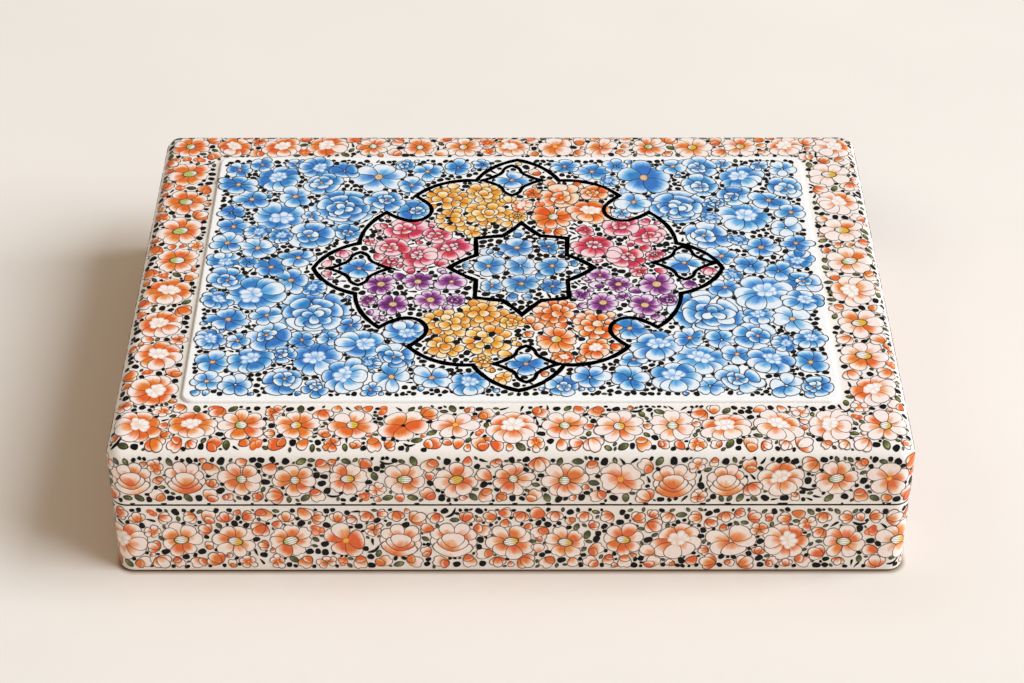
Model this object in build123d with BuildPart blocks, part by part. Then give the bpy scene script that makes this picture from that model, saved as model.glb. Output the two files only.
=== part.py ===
"""Kashmiri papier mache box: a shallow painted box with a hinged lid.

Millimetres, +Z up, +Y to the back. The origin is the centre of the underside, on the
surface that the box stands on. The base and the lid are each one moulded papier mache
shell. Four card strips inside the base stand above its rim and locate the lid. Two brass
hinges are let into the back, and the bevelled back edges stop the lid when it is open.
"""

import math
import os

from build123d import *

os.makedirs("parts", exist_ok=True)

# ---- Driving dimensions: the outside -------------------------------------------------
box_width = 254.0  # ten inches, left to right
box_depth = 184.0  # front to back
base_height = 28.5  # underside to the seam
lid_height = 22.5  # seam to the lid's flat border
corner_radius = 5.2  # upright corners
top_edge_radius = 5.0  # round the lid's top
bottom_edge_radius = 1.2  # round the underside
seam_edge_radius = 0.5  # each side of the seam, which shows as a fine line

# ---- The raised field on the lid -----------------------------------------------------
field_width = 211.0
field_depth = 142.8
field_rise = 1.2
field_shift_y = 2.8  # the field sits a little behind the lid's middle
field_corner_radius = 4.0
field_edge_radius = 0.9

# ---- Walls and linings ---------------------------------------------------------------
wall = 5.0
base_floor = 4.5
lid_roof = 4.5
cavity_corner_radius = 1.5
collar_thickness = 2.0
collar_rise = 3.5  # how far the collar stands above the rim
collar_gap = 0.35  # clearance from the collar to the lid's wall
collar_corner_radius = 1.8  # clears the rounded corners of both shells
collar_lip_radius = 0.8
lining_thickness = 1.0
lining_gap = 0.3
lining_corner_radius = 2.2

# ---- Hinges --------------------------------------------------------------------------
opening_angle = 105.0  # degrees, where the back bevels meet
stop_margin = 1.0  # degrees left between the bevels at that angle
pin_inset = 2.0  # from the back face to the pin's axis
hinge_spacing = 130.0  # between the middles of the two hinges
hinge_length = 22.0
centre_knuckle_length = 7.6
knuckle_gap = 0.2
barrel_radius = 1.6
pin_radius = 0.75
pin_clearance = 0.05  # radial, in the lid's knuckle
pin_overhang = 0.3  # past the barrel at each end
pin_end_chamfer = 0.15
leaf_thickness = 0.7
leaf_reach = 8.6  # from the pin's axis to the leaf's far edge
leaf_corner_radius = 1.2
strap_length = 2.6  # from the pin's axis to where the full leaf starts
barrel_pocket_radius = 1.85
strap_pocket_reach = 2.3
pocket_end_gap = 0.6

# ---- Nails ---------------------------------------------------------------------------
nail_spread = 7.4  # outer nails, from the hinge's middle
outer_nail_reach = 4.6  # from the pin's axis
middle_nail_reach = 6.4
nail_radius = 0.5
nail_head_radius = 0.95
nail_head_rise = 0.35
nail_head_round = 0.25
nail_length = 3.6  # below the head
nail_hole_clearance = 0.03
nail_point_chamfer = 0.3

# ---- Worked out from the above -------------------------------------------------------
seam_z = base_height
lid_top_z = base_height + lid_height
back_y = box_depth / 2
pin_y = back_y - pin_inset
bevel_angle = math.radians((opening_angle + stop_margin) / 2)
half_cavity_width = box_width / 2 - wall
half_cavity_depth = box_depth / 2 - wall
lid_wall = wall - collar_gap
leaf_outer_y = pin_y + barrel_radius
leaf_inner_y = leaf_outer_y - leaf_thickness
pin_hole_radius = pin_radius + pin_clearance
nail_hole_radius = nail_radius + nail_hole_clearance
end_knuckle_length = (hinge_length - centre_knuckle_length) / 2 - knuckle_gap
past = 2.0  # how far a cut runs past the solid that it opens
hinge_places = {"left": -hinge_spacing / 2, "right": hinge_spacing / 2}


def nail_points(side):
    """Nail places of both hinges, as X and Z, on one leaf: side is -1 base, 1 lid."""
    points = []
    for hinge_x in hinge_places.values():
        for offset_x, reach in (
            (-nail_spread, outer_nail_reach),
            (0.0, middle_nail_reach),
            (nail_spread, outer_nail_reach),
        ):
            points.append((hinge_x + offset_x, seam_z + side * reach))
    return points


def cut_back_edge(side):
    """Bevel the back rim of the shell being built: side is -1 base, 1 lid."""
    reach = pin_inset + past
    with BuildSketch(Plane.YZ) as bevel:
        with BuildLine():
            Polyline(
                (pin_y, seam_z),
                (pin_y, seam_z - side * past),
                (pin_y + reach, seam_z - side * past),
                (pin_y + reach, seam_z + side * reach * math.tan(bevel_angle)),
                close=True,
            )
        make_face()
    extrude(bevel.sketch, amount=box_width / 2 + past, both=True, mode=Mode.SUBTRACT)


def cut_hinge_seats(side):
    """Let both hinges into the back of the shell being built, with their nail holes."""
    pocket_length = hinge_length + 2 * pocket_end_gap
    for hinge_x in hinge_places.values():
        with BuildSketch(Plane.YZ.offset(hinge_x - pocket_length / 2)) as barrel_pocket:
            with Locations((pin_y, seam_z)):
                Circle(barrel_pocket_radius)
            with Locations((pin_y + (pin_inset + past) / 2, seam_z)):
                Rectangle(pin_inset + past, 2 * strap_pocket_reach)
        extrude(barrel_pocket.sketch, amount=pocket_length, mode=Mode.SUBTRACT)
        with BuildSketch(Plane.XZ.offset(-leaf_inner_y)) as leaf_recess:
            with Locations((hinge_x, seam_z)):
                Rectangle(hinge_length + 2 * knuckle_gap, 2 * (leaf_reach + knuckle_gap))
        extrude(leaf_recess.sketch, amount=-(back_y - leaf_inner_y + past), mode=Mode.SUBTRACT)
    with BuildSketch(Plane.XZ.offset(-leaf_inner_y)) as nail_holes:
        with Locations(*nail_points(side)):
            Circle(nail_hole_radius)
    extrude(nail_holes.sketch, amount=nail_length, mode=Mode.SUBTRACT)


# ---- Base shell ----------------------------------------------------------------------
with BuildPart() as base_shell:
    with BuildSketch():
        RectangleRounded(box_width, box_depth, corner_radius)
    extrude(amount=base_height)
    underside = base_shell.faces().sort_by(Axis.Z)[0]
    fillet(underside.outer_wire().edges(), bottom_edge_radius)
    rim = base_shell.faces().sort_by(Axis.Z)[-1]
    fillet(rim.outer_wire().edges(), seam_edge_radius)
    with BuildSketch(Plane.XY.offset(base_floor)):
        RectangleRounded(2 * half_cavity_width, 2 * half_cavity_depth, cavity_corner_radius)
    extrude(amount=base_height, mode=Mode.SUBTRACT)
    cut_back_edge(-1)
    cut_hinge_seats(-1)

# ---- Lid shell -----------------------------------------------------------------------
with BuildPart() as lid_shell:
    with BuildSketch(Plane.XY.offset(seam_z)):
        RectangleRounded(box_width, box_depth, corner_radius)
    extrude(amount=lid_height)
    lid_top = lid_shell.faces().sort_by(Axis.Z)[-1]
    fillet(lid_top.outer_wire().edges(), top_edge_radius)
    lid_rim = lid_shell.faces().sort_by(Axis.Z)[0]
    fillet(lid_rim.outer_wire().edges(), seam_edge_radius)
    with BuildSketch(Plane.XY.offset(seam_z)):
        RectangleRounded(
            box_width - 2 * lid_wall, box_depth - 2 * lid_wall, cavity_corner_radius + collar_gap
        )
    extrude(amount=lid_height - lid_roof, mode=Mode.SUBTRACT)
    cut_back_edge(1)
    cut_hinge_seats(1)

# ---- Raised field: a card panel pasted on the lid under the painted ground -----------
with BuildPart() as lid_field_panel:
    with BuildSketch(Plane.XY.offset(lid_top_z)):
        with Locations((0, field_shift_y)):
            RectangleRounded(field_width, field_depth, field_corner_radius)
    extrude(amount=field_rise)
    field_face = lid_field_panel.faces().sort_by(Axis.Z)[-1]
    fillet(field_face.outer_wire().edges(), field_edge_radius)

# ---- Collar: four strips pasted inside the base, standing above its rim ---------------
collar_height = base_height + collar_rise - base_floor
collar_strips = {}
for strip_name, side in (("collar_front", -1), ("collar_back", 1)):
    with BuildPart() as long_strip:
        with BuildSketch(Plane.XY.offset(base_floor)):
            with Locations((0, side * (half_cavity_depth - collar_thickness / 2))):
                Rectangle(2 * half_cavity_width, collar_thickness)
        extrude(amount=collar_height)
        uprights = long_strip.edges().filter_by(Axis.Z).group_by(Axis.Y)
        fillet(uprights[0 if side < 0 else -1], collar_corner_radius)
        lip = long_strip.faces().sort_by(Axis.Z)[-1]
        fillet(lip.edges().filter_by(Axis.X).sort_by(Axis.Y)[0 if side < 0 else -1], collar_lip_radius)
    collar_strips[strip_name] = long_strip.part

for strip_name, side in (("collar_left", -1), ("collar_right", 1)):
    with BuildPart() as short_strip:
        with BuildSketch(Plane.XY.offset(base_floor)):
            with Locations((side * (half_cavity_width - collar_thickness / 2), 0)):
                Rectangle(collar_thickness, 2 * (half_cavity_depth - collar_thickness))
        extrude(amount=collar_height)
        lip = short_strip.faces().sort_by(Axis.Z)[-1]
        fillet(lip.edges().filter_by(Axis.Y).sort_by(Axis.X)[0 if side < 0 else -1], collar_lip_radius)
    collar_strips[strip_name] = short_strip.part

# ---- Linings -------------------------------------------------------------------------
tray_margin = collar_thickness + lining_gap
with BuildPart() as base_floor_lining:
    with BuildSketch(Plane.XY.offset(base_floor)):
        RectangleRounded(
            2 * (half_cavity_width - tray_margin),
            2 * (half_cavity_depth - tray_margin),
            lining_corner_radius,
        )
    extrude(amount=lining_thickness)

with BuildPart() as lid_lining:
    with BuildSketch(Plane.XY.offset(lid_top_z - lid_roof - lining_thickness)):
        RectangleRounded(
            box_width - 2 * (lid_wall + lining_gap),
            box_depth - 2 * (lid_wall + lining_gap),
            lining_corner_radius,
        )
    extrude(amount=lining_thickness)


# ---- Hinges --------------------------------------------------------------------------
def build_leaf(label, hinge_x, side, knuckles, hole_radius):
    """One hinge leaf with its knuckles: side is -1 for the base leaf, 1 for the lid leaf.

    knuckles holds the start and the length of each knuckle, measured from hinge_x.
    """
    with BuildPart() as leaf:
        plate_middle_z = seam_z + side * (leaf_reach + strap_length) / 2
        with BuildSketch(Plane.XZ.offset(-leaf_inner_y)):
            with Locations((hinge_x, plate_middle_z)):
                RectangleRounded(hinge_length, leaf_reach - strap_length, leaf_corner_radius)
            for start, length in knuckles:
                with Locations((hinge_x + start + length / 2, seam_z + side * strap_length)):
                    Rectangle(length, 2 * strap_length)
        extrude(amount=-leaf_thickness)
        for start, length in knuckles:
            with BuildSketch(Plane.YZ.offset(hinge_x + start)):
                with Locations((pin_y, seam_z)):
                    Circle(barrel_radius)
            extrude(amount=length)
        with BuildSketch(Plane.YZ.offset(hinge_x - hinge_length)):
            with Locations((pin_y, seam_z)):
                Circle(hole_radius)
        extrude(amount=2 * hinge_length, mode=Mode.SUBTRACT)
        with BuildSketch(Plane.XZ.offset(-leaf_inner_y)):
            with Locations(*nail_points(side)):
                Circle(nail_hole_radius)
        extrude(amount=-leaf_thickness, mode=Mode.SUBTRACT)
    leaf.part.label = label
    return leaf.part


base_knuckles = (
    (-hinge_length / 2, end_knuckle_length),
    (hinge_length / 2 - end_knuckle_length, end_knuckle_length),
)
lid_knuckles = ((-centre_knuckle_length / 2, centre_knuckle_length),)

hinge_pieces = []
for place, hinge_x in hinge_places.items():
    hinge_pieces.append(build_leaf(f"hinge_{place}_base_leaf", hinge_x, -1, base_knuckles, pin_radius))
    hinge_pieces.append(build_leaf(f"hinge_{place}_lid_leaf", hinge_x, 1, lid_knuckles, pin_hole_radius))
    with BuildPart() as hinge_pin:
        with BuildSketch(Plane.YZ.offset(hinge_x - hinge_length / 2 - pin_overhang)):
            with Locations((pin_y, seam_z)):
                Circle(pin_radius)
        extrude(amount=hinge_length + 2 * pin_overhang)
        chamfer(hinge_pin.edges().filter_by(GeomType.CIRCLE), pin_end_chamfer)
    hinge_pin.part.label = f"hinge_{place}_pin"
    hinge_pieces.append(hinge_pin.part)


def build_nails(label, side):
    """The six round-headed nails that hold both hinges on one shell."""
    with BuildPart() as nails:
        with BuildSketch(Plane.XZ.offset(-leaf_outer_y)):
            with Locations(*nail_points(side)):
                Circle(nail_head_radius)
        extrude(amount=-nail_head_rise)
        outer_rims = nails.edges().filter_by(GeomType.CIRCLE).group_by(Axis.Y)[-1]
        fillet(outer_rims, nail_head_round)
        with BuildSketch(Plane.XZ.offset(-leaf_outer_y)):
            with Locations(*nail_points(side)):
                Circle(nail_radius)
        extrude(amount=nail_length)
        points = nails.edges().filter_by(GeomType.CIRCLE).group_by(Axis.Y)[0]
        chamfer(points, nail_point_chamfer)
    nails.part.label = label
    return nails.part


# ---- Write every piece ---------------------------------------------------------------
base_shell.part.label = "base_shell"
lid_shell.part.label = "lid_shell"
lid_field_panel.part.label = "lid_field_panel"
base_floor_lining.part.label = "base_floor_lining"
lid_lining.part.label = "lid_lining"
for strip_name, strip in collar_strips.items():
    strip.label = strip_name

pieces = [
    base_shell.part,
    base_floor_lining.part,
    *collar_strips.values(),
    lid_shell.part,
    lid_field_panel.part,
    lid_lining.part,
    *hinge_pieces,
    build_nails("base_hinge_nails", -1),
    build_nails("lid_hinge_nails", 1),
]
for piece in pieces:
    export_step(piece, f"parts/{piece.label}.step")
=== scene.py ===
"""A lacquered Kashmiri papier mache box, painted and finished around its packed construction.

The shells, collar and hinges are the frame's own nodes and get their finishes here. The
painting is modelled: each brush stroke is a thin raised daub of gouache, laid out on a flat
pattern in millimetres and then carried onto the box's surface by a formula.
"""

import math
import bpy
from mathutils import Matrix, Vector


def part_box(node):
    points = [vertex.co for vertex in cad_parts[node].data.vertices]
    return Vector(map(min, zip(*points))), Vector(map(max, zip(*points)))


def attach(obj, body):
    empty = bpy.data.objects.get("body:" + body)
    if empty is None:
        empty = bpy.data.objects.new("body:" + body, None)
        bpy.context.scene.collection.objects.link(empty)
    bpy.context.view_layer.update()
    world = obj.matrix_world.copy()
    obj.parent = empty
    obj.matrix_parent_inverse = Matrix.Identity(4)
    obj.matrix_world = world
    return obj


bl_info = {
    "name": "Kashmiri Papier Mache Box",
    "version": (1, 0, 0),
    "blender": (4, 5, 0),
    "location": "View3D > Sidebar > Painted Box",
    "description": "Paints and finishes a lacquered papier mache box",
    "category": "Object",
}

import bpy
import numpy as np
from bpy.props import FloatProperty, FloatVectorProperty, IntProperty, PointerProperty

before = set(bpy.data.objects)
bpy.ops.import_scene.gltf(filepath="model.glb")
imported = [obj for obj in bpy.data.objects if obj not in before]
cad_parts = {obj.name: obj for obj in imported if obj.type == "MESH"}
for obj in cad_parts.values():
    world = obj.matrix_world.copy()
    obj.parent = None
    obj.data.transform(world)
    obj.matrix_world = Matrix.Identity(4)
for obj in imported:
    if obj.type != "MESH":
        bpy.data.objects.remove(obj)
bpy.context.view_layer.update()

MM = 0.001
TAU = 2 * math.pi


# ---- Sizes of the box, in millimetres, most of them read from the frame ------------------
def node_corners(node):
    """Lowest and highest corner of a frame node, in millimetres."""
    low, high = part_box(node)
    return np.array(low) / MM, np.array(high) / MM


seam_z = node_corners("base_shell")[1][2]
lid_low, lid_high = node_corners("lid_shell")
field_low, field_high = node_corners("lid_field_panel")
half_width = (lid_high[0] - lid_low[0]) / 2
half_depth = (lid_high[1] - lid_low[1]) / 2
lid_top_z = lid_high[2]
field_top_z = field_high[2]
corner_radius = 5.2
top_edge_radius = 5.0
wall_thickness = 5.0
hinge_places = (-65.0, 65.0)
hinge_half_length = 11.0
hinge_reach = 8.8
bevel_depth = 2.0  # of the back rims, measured from the back face to the hinge pins' axis
bevel_slope = math.tan(math.radians(53.0))

# ---- Layout of the painting, in millimetres ----------------------------------------------
medallion_centre = np.array([2.5, 4.0])
star_centre = np.array([3.8, 4.3])
grid_step = 0.5
flat_step = 0.004  # between one stroke and the next laid over it, on flat ground
round_step = 0.009  # and where the ground is round in places
highest_start = 0.12  # no motif starts higher than this over the ground
sink = 0.03  # how far each stroke is rooted in the ground
bend_sags = (0.02, 0.16)  # a stroke sags this much where the ground starts to bend, and is round
layer_gap = 100.0  # more than any height: all feet come first in a piece, then walls, then tops
open_room = 50.0  # more room than anything painted takes
widest_circle = 6.5  # no circle that fills free room reaches this far


def linear(hex_colour):
    """An sRGB hex colour as linear RGBA."""
    channels = np.array([int(hex_colour[i : i + 2], 16) for i in (1, 3, 5)]) / 255
    low = channels / 12.92
    high = ((channels + 0.055) / 1.055) ** 2.4
    return (*np.where(channels <= 0.04045, low, high).tolist(), 1.0)


PARTS = ("deep", "middle", "pale", "line")
# Each gouache as its deep, middle and pale mix, its outline, and how far from a petal's base
# it turns pale.
PAINTS = {
    "lapis": ("#2a78c0", "#6ab2e5", "#ebf3f8", "#0e1630", 0.61),
    "sky": ("#2e76b8", "#6cacda", "#e4ecf1", "#101830", 0.68),
    "vermilion": ("#e66a20", "#f5a670", "#fdece2", "#4a2416", 0.5),
    "gold": ("#ea9022", "#f8bf5e", "#fdeac4", "#40230a", 0.7),
    "tangerine": ("#e65c12", "#f79246", "#fbe0c8", "#45210f", 0.6),
    "madder": ("#cb2742", "#e8647a", "#fad6d8", "#3a131d", 0.57),
    "violet": ("#651970", "#ae57a0", "#efd9e9", "#24102c", 0.60),
    "olive": ("#3b3c19", "#60652f", "#969c5a", "#26250f", 0.95),
    "flame": ("#e05a12", "#f0853c", "#f8c096", "#d4541a", 0.8),
    "blush": ("#f7d9c4", "#fbf0e8", "#fdf8f4", "#f4d8c5", 0.6),
    "frost": ("#93bfec", "#cbe0f5", "#ecf3f9", "#7fadda", 0.7),
}


def colour(name, hex_value, description):
    """A colour property with an sRGB hex default."""
    settings = {"subtype": "COLOR", "size": 4, "min": 0, "max": 1, "default": linear(hex_value)}
    return FloatVectorProperty(name=name, description=description, **settings)


def length(name, value, description):
    """A length property in metres, with its default given in millimetres."""
    settings = {"subtype": "DISTANCE", "unit": "LENGTH", "default": value * MM}
    return FloatProperty(name=name, description=description, **settings)


class BOX_PG_colours(bpy.types.PropertyGroup):
    """Colours of the box's paints and finishes."""

    __annotations__ = {
        f"{paint}_{part}": colour(f"{paint} {part}".title(), hex_value, f"{part} mix of the {paint} gouache")
        for paint, mixes in PAINTS.items()
        for part, hex_value in zip(PARTS, mixes)
    } | {
        "ground": colour("Ground", "#f6efe8", "Ivory gesso under the painting"),
        "ink": colour("Ink", "#0c0a0a", "Lamp black of the outlines and dots"),
        "heart_gold": colour("Heart gold", "#f4c33f", "Stippled flower hearts"),
        "heart_lime": colour("Heart lime", "#c3cf77", "Green side of the ribbed hearts"),
        "heart_ochre": colour("Heart ochre", "#e3c391", "Hearts of the blue flowers"),
        "heart_brown": colour("Heart brown", "#8a4426", "Dots in the hearts of the blue flowers"),
        "field_ground": colour("Field ground", "#fdfbf8", "Whiter gesso of the raised field"),
        "interior": colour("Interior", "#0d0b0a", "Black lacquer inside the box"),
        "velvet": colour("Velvet", "#6d0f1c", "Pasted cotton velvet"),
        "brass": colour("Brass", "#d6aa55", "Stamped hinge brass"),
        "floor": colour("Floor", "#f3ebe1", "Pale floor and backdrop"),
    }


class BOX_PG_sizes(bpy.types.PropertyGroup):
    """Sizes of the painting."""

    outline: length("Flower outline", 0.44, "Width of the fine line round each petal")
    band: length("Medallion line", 1.6, "Width of the black medallion line")
    paint: length("Paint thickness", 0.06, "How far a stroke stands above the ground")
    seed: IntProperty(name="Seed", description="Changes the scatter of small flowers", default=7, min=0)


# ---- Materials ---------------------------------------------------------------------------
def add_node(tree, kind, inputs=None, **settings):
    """Add a node, set its properties, and set or link its inputs by name or index."""
    node = tree.nodes.new(kind)
    for key, value in settings.items():
        setattr(node, key, value)
    for key, value in (inputs or {}).items():
        if isinstance(key, int):
            socket = node.inputs[key]
        else:
            socket = next(s for s in node.inputs if s.name == key and s.enabled)
        if isinstance(value, bpy.types.NodeSocket):
            tree.links.new(value, socket)
        else:
            socket.default_value = value
    return node


def start_material(name, **constants):
    """A material with a Principled shader whose constant sockets are set, and its place output."""
    material = bpy.data.materials.new(name)
    material.use_nodes = True
    tree = material.node_tree
    tree.nodes.clear()
    shader = add_node(tree, "ShaderNodeBsdfPrincipled", constants)
    add_node(tree, "ShaderNodeOutputMaterial", {"Surface": shader.outputs["BSDF"]})
    place = add_node(tree, "ShaderNodeTexCoord").outputs["Object"]
    return material, tree, shader, place


def link_surface(tree, shader, colour, normal):
    """Link the shader's colour and normal."""
    tree.links.new(colour, shader.inputs["Base Color"])
    tree.links.new(normal, shader.inputs["Normal"])


def attribute(tree, name):
    """The value of a painted piece's own attribute."""
    return add_node(tree, "ShaderNodeAttribute", attribute_name=name).outputs["Fac"]


def separate(tree, vector):
    """A vector's X, Y and Z."""
    return add_node(tree, "ShaderNodeSeparateXYZ", {"Vector": vector}).outputs


def stroke_place(tree):
    """Where a point lies in its brush stroke: X from base to tip, Y from side to side."""
    return separate(tree, add_node(tree, "ShaderNodeUVMap", uv_map="Stroke").outputs["UV"])


def math_node(tree, operation, first, second=0.0):
    """A Math node's result."""
    return add_node(tree, "ShaderNodeMath", {0: first, 1: second}, operation=operation).outputs[0]


def times(tree, first, second):
    """The product of two values."""
    return math_node(tree, "MULTIPLY", first, second)


def weighted(tree, value, weight, total):
    """total plus value times weight."""
    terms = {0: value, 1: weight, 2: total}
    return add_node(tree, "ShaderNodeMath", terms, operation="MULTIPLY_ADD").outputs[0]


def blend_colours(tree, factor, first, second, mode="MIX"):
    """A colour Mix node's result."""
    inputs = {"Factor": factor, "A": first, "B": second}
    node = add_node(tree, "ShaderNodeMix", inputs, data_type="RGBA", blend_type=mode)
    return next(s for s in node.outputs if s.enabled)


def smooth_range(tree, value, start, end, low=0.0, high=1.0):
    """low where the value is at start, high where it is at end, and smooth in between."""
    inputs = {"Value": value, "From Min": start, "From Max": end, "To Min": low, "To Max": high}
    return add_node(tree, "ShaderNodeMapRange", inputs, interpolation_type="SMOOTHSTEP").outputs["Result"]


def line_over(tree, paint, line, width_mm):
    """The paint with a fine line drawn over it along the stroke's rim."""
    on_line = smooth_range(tree, attribute(tree, "rim"), 0.55 * width_mm, width_mm, 0.96, 0.0)
    return blend_colours(tree, on_line, paint, line)


def ramp(tree, factor, stops):
    """A colour ramp's result, from (position, colour) stops."""
    node = add_node(tree, "ShaderNodeValToRGB", {"Fac": factor})
    elements = node.color_ramp.elements
    while len(elements) < len(stops):
        elements.new(0.5)
    for element, (position, value) in zip(elements, stops):
        element.position = position
        element.color = value
    return node.outputs["Color"]


def noise(tree, vector, scale, detail=2.0):
    """A noise pattern's value."""
    inputs = {"Vector": vector, "Scale": scale, "Detail": detail}
    return add_node(tree, "ShaderNodeTexNoise", inputs).outputs["Fac"]


def per_metre(size_mm):
    """The scale that gives a pattern features of this size."""
    return 1000.0 / size_mm


def grey(value):
    """A grey as linear RGBA."""
    return (value, value, value, 1.0)


def tinted(paint, *shares):
    """A paint with its red, green and blue times their shares."""
    return (*(channel * share for channel, share in zip(paint, shares)), 1.0)


# Clear copal lacquer over everything painted: a gloss coat with a faint orange peel.
LACQUER = {"Roughness": 0.45, "Specular IOR Level": 0.35, "Coat Weight": 0.35, "Coat Roughness": 0.14}


def lacquer_bump(tree, place, relief=0.0):
    """Normal of the lacquer film: soft waves a few millimetres long over a painted relief."""
    waves = noise(tree, place, per_metre(3.5))
    height = weighted(tree, waves, 0.02, relief)
    bump = add_node(tree, "ShaderNodeBump", {"Strength": 0.35, "Distance": MM, "Height": height})
    return bump.outputs["Normal"]


def gouache(name, deep, middle, pale, line, reach, outline_mm):
    """Opaque chalky gouache under lacquer, graded along each petal from its base to its rim.

    The eye gets a saturated base, soft brush streaks, a pale rim and a thin dark outline.
    """
    material, tree, shader, place = start_material(name, **LACQUER)
    stroke = stroke_place(tree)
    tone = attribute(tree, "tone")
    # brush streaks run from the base to the tip, each a tenth of a petal wide
    axes = (("X", stroke["X"], 1.6), ("Y", stroke["Y"], 9.0), ("Z", tone, 300.0))
    scaled = {axis: times(tree, value, scale) for axis, value, scale in axes}
    streak = noise(tree, add_node(tree, "ShaderNodeCombineXYZ", scaled).outputs["Vector"], 1.0)
    # one side of each petal is worked deeper than the other, and each petal mixed a little apart
    side = math_node(tree, "SINE", times(tree, tone, 61.0))
    lean = times(tree, side, math_node(tree, "SUBTRACT", stroke["Y"], 0.5))
    along = weighted(tree, lean, 0.5, math_node(tree, "ADD", stroke["X"], tone))
    along = weighted(tree, streak, 0.34, along)
    along = weighted(tree, attribute(tree, "core"), -0.28, along)
    start = 0.17
    stops = ((start + 0.12 * reach, deep), (start + 0.5 * reach, middle), (start + reach, pale))
    paint = ramp(tree, along, stops)
    hue = weighted(tree, math_node(tree, "SINE", times(tree, tone, 37.0)), 0.007, 0.5)
    paint = add_node(tree, "ShaderNodeHueSaturation", {"Hue": hue, "Color": paint}).outputs["Color"]
    worn = ramp(tree, noise(tree, place, per_metre(1.6)), ((0.3, grey(0.92)), (0.7, grey(1.03))))
    paint = blend_colours(tree, 0.7, paint, worn, "MULTIPLY")
    relief = times(tree, streak, 0.012)
    link_surface(tree, shader, line_over(tree, paint, line, outline_mm), lacquer_bump(tree, place, relief))
    return material


def lamp_black(name, ink):
    """Lamp black ink under lacquer: flat black, a little thin where the brush dried."""
    finish = {**LACQUER, "Specular IOR Level": 0.1, "Coat Weight": 0.08}
    material, tree, shader, place = start_material(name, **finish)
    thin = (*(min(1.0, 1.6 * channel + 0.004) for channel in ink[:3]), 1.0)
    paint = ramp(tree, noise(tree, place, per_metre(0.9), 3.0), ((0.5, ink), (0.85, thin)))
    link_surface(tree, shader, paint, lacquer_bump(tree, place))
    return material


def stippled_heart(name, gold, dots, outline_mm):
    """A flower's heart: thick yellow paint stippled with small brown dots."""
    material, tree, shader, place = start_material(name, **LACQUER)
    pattern = {"Vector": place, "Scale": per_metre(0.8)}
    cells = add_node(tree, "ShaderNodeTexVoronoi", pattern, feature="F1").outputs["Distance"]
    paint = ramp(tree, cells, ((0.16, dots), (0.38, gold)))
    relief = times(tree, cells, 0.03)
    link_surface(tree, shader, line_over(tree, paint, dots, outline_mm), lacquer_bump(tree, place, relief))
    return material


def ribbed_heart(name, gold, lime, white, line, outline_mm):
    """An oval heart shaded green to white to yellow across, with fine dark ribs."""
    material, tree, shader, place = start_material(name, **LACQUER)
    stroke = stroke_place(tree)
    across = weighted(tree, attribute(tree, "tone"), 1.3, stroke["X"])
    shade = ramp(tree, across, ((0.08, lime), (0.3, white), (0.5, white), (0.78, gold)))
    ribs = math_node(tree, "SINE", times(tree, stroke["Y"], 4.5 * TAU))
    thin_rib = ramp(tree, ribs, ((0.2, grey(0.0)), (0.9, grey(1.0))))
    paint = blend_colours(tree, times(tree, thin_rib, 0.6), shade, line)
    link_surface(tree, shader, line_over(tree, paint, line, outline_mm), lacquer_bump(tree, place))
    return material


def mottled_ground(tree, place, ground, warmth=1.0):
    """The gesso's colour: broad warm clouds and fine chalk specks."""
    clouds = noise(tree, place, per_metre(38.0), 3.0)
    warm = tinted(ground, *(1 - warmth * fade for fade in (0.015, 0.045, 0.09)))
    tint = ramp(tree, clouds, ((0.35, ground), (0.75, warm)))
    chalk = noise(tree, place, per_metre(0.8), 3.0)
    specks = ramp(tree, chalk, ((0.3, (0.965, 0.96, 0.95, 1)), (0.6, grey(1.0))))
    return blend_colours(tree, 1.0, tint, specks, "MULTIPLY")


def gesso_ground(name, ground):
    """White gesso burnished smooth under lacquer, with fine chalk specks."""
    material, tree, shader, place = start_material(name, **LACQUER)
    link_surface(tree, shader, mottled_ground(tree, place, ground, 0.3), lacquer_bump(tree, place))
    return material


def from_walls(tree, split):
    """How far a point lies outside the box's outline seen from above, negative inside it."""
    squares = []
    for axis, half in (("X", half_width), ("Y", half_depth)):
        reach = math_node(tree, "ABSOLUTE", split[axis])
        beyond = math_node(tree, "SUBTRACT", reach, (half - corner_radius) * MM)
        past = math_node(tree, "MAXIMUM", beyond)
        squares.append(times(tree, past, past))
    from_core = math_node(tree, "SQRT", math_node(tree, "ADD", *squares))
    return math_node(tree, "SUBTRACT", from_core, corner_radius * MM)


def shell_finish(name, ground, inside, z_open, z_closed):
    """Painted ground outside and black lacquer inside, parted within the wall.

    A point is inside where it lies in a rounded rectangle a little smaller than the shell, and
    between the open rim (z_open) and halfway through the closed side (z_closed). The bottom
    and the rims are black too; the black runs up round the foot of the bottom edge, partly the
    lacquer of the bottom and partly painted shade where the box meets the table.
    """
    within_wall, black_bottom_and_foot_shade_height, rim_height = 1.6 * MM, 0.75 * MM, 0.34 * MM
    material, tree, shader, place = start_material(name, **LACQUER)
    split = separate(tree, place)
    low, high = sorted((z_open, z_closed))
    mask = math_node(tree, "LESS_THAN", from_walls(tree, split), -within_wall)
    mask = times(tree, mask, math_node(tree, "GREATER_THAN", split["Z"], low * MM))
    mask = times(tree, mask, math_node(tree, "LESS_THAN", split["Z"], high * MM))
    # the black bottom runs up round the foot of the bottom edge: partly the bottom's lacquer, partly painted
    # shade where the box meets the table
    under = math_node(tree, "LESS_THAN", split["Z"], black_bottom_and_foot_shade_height)
    from_seam = math_node(tree, "ABSOLUTE", math_node(tree, "SUBTRACT", split["Z"], seam_z * MM))
    rim = math_node(tree, "LESS_THAN", from_seam, rim_height)
    mask = math_node(tree, "MAXIMUM", mask, math_node(tree, "MAXIMUM", under, rim))
    paint = blend_colours(tree, mask, mottled_ground(tree, place, ground), inside)
    link_surface(tree, shader, paint, lacquer_bump(tree, place))
    return material


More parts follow.
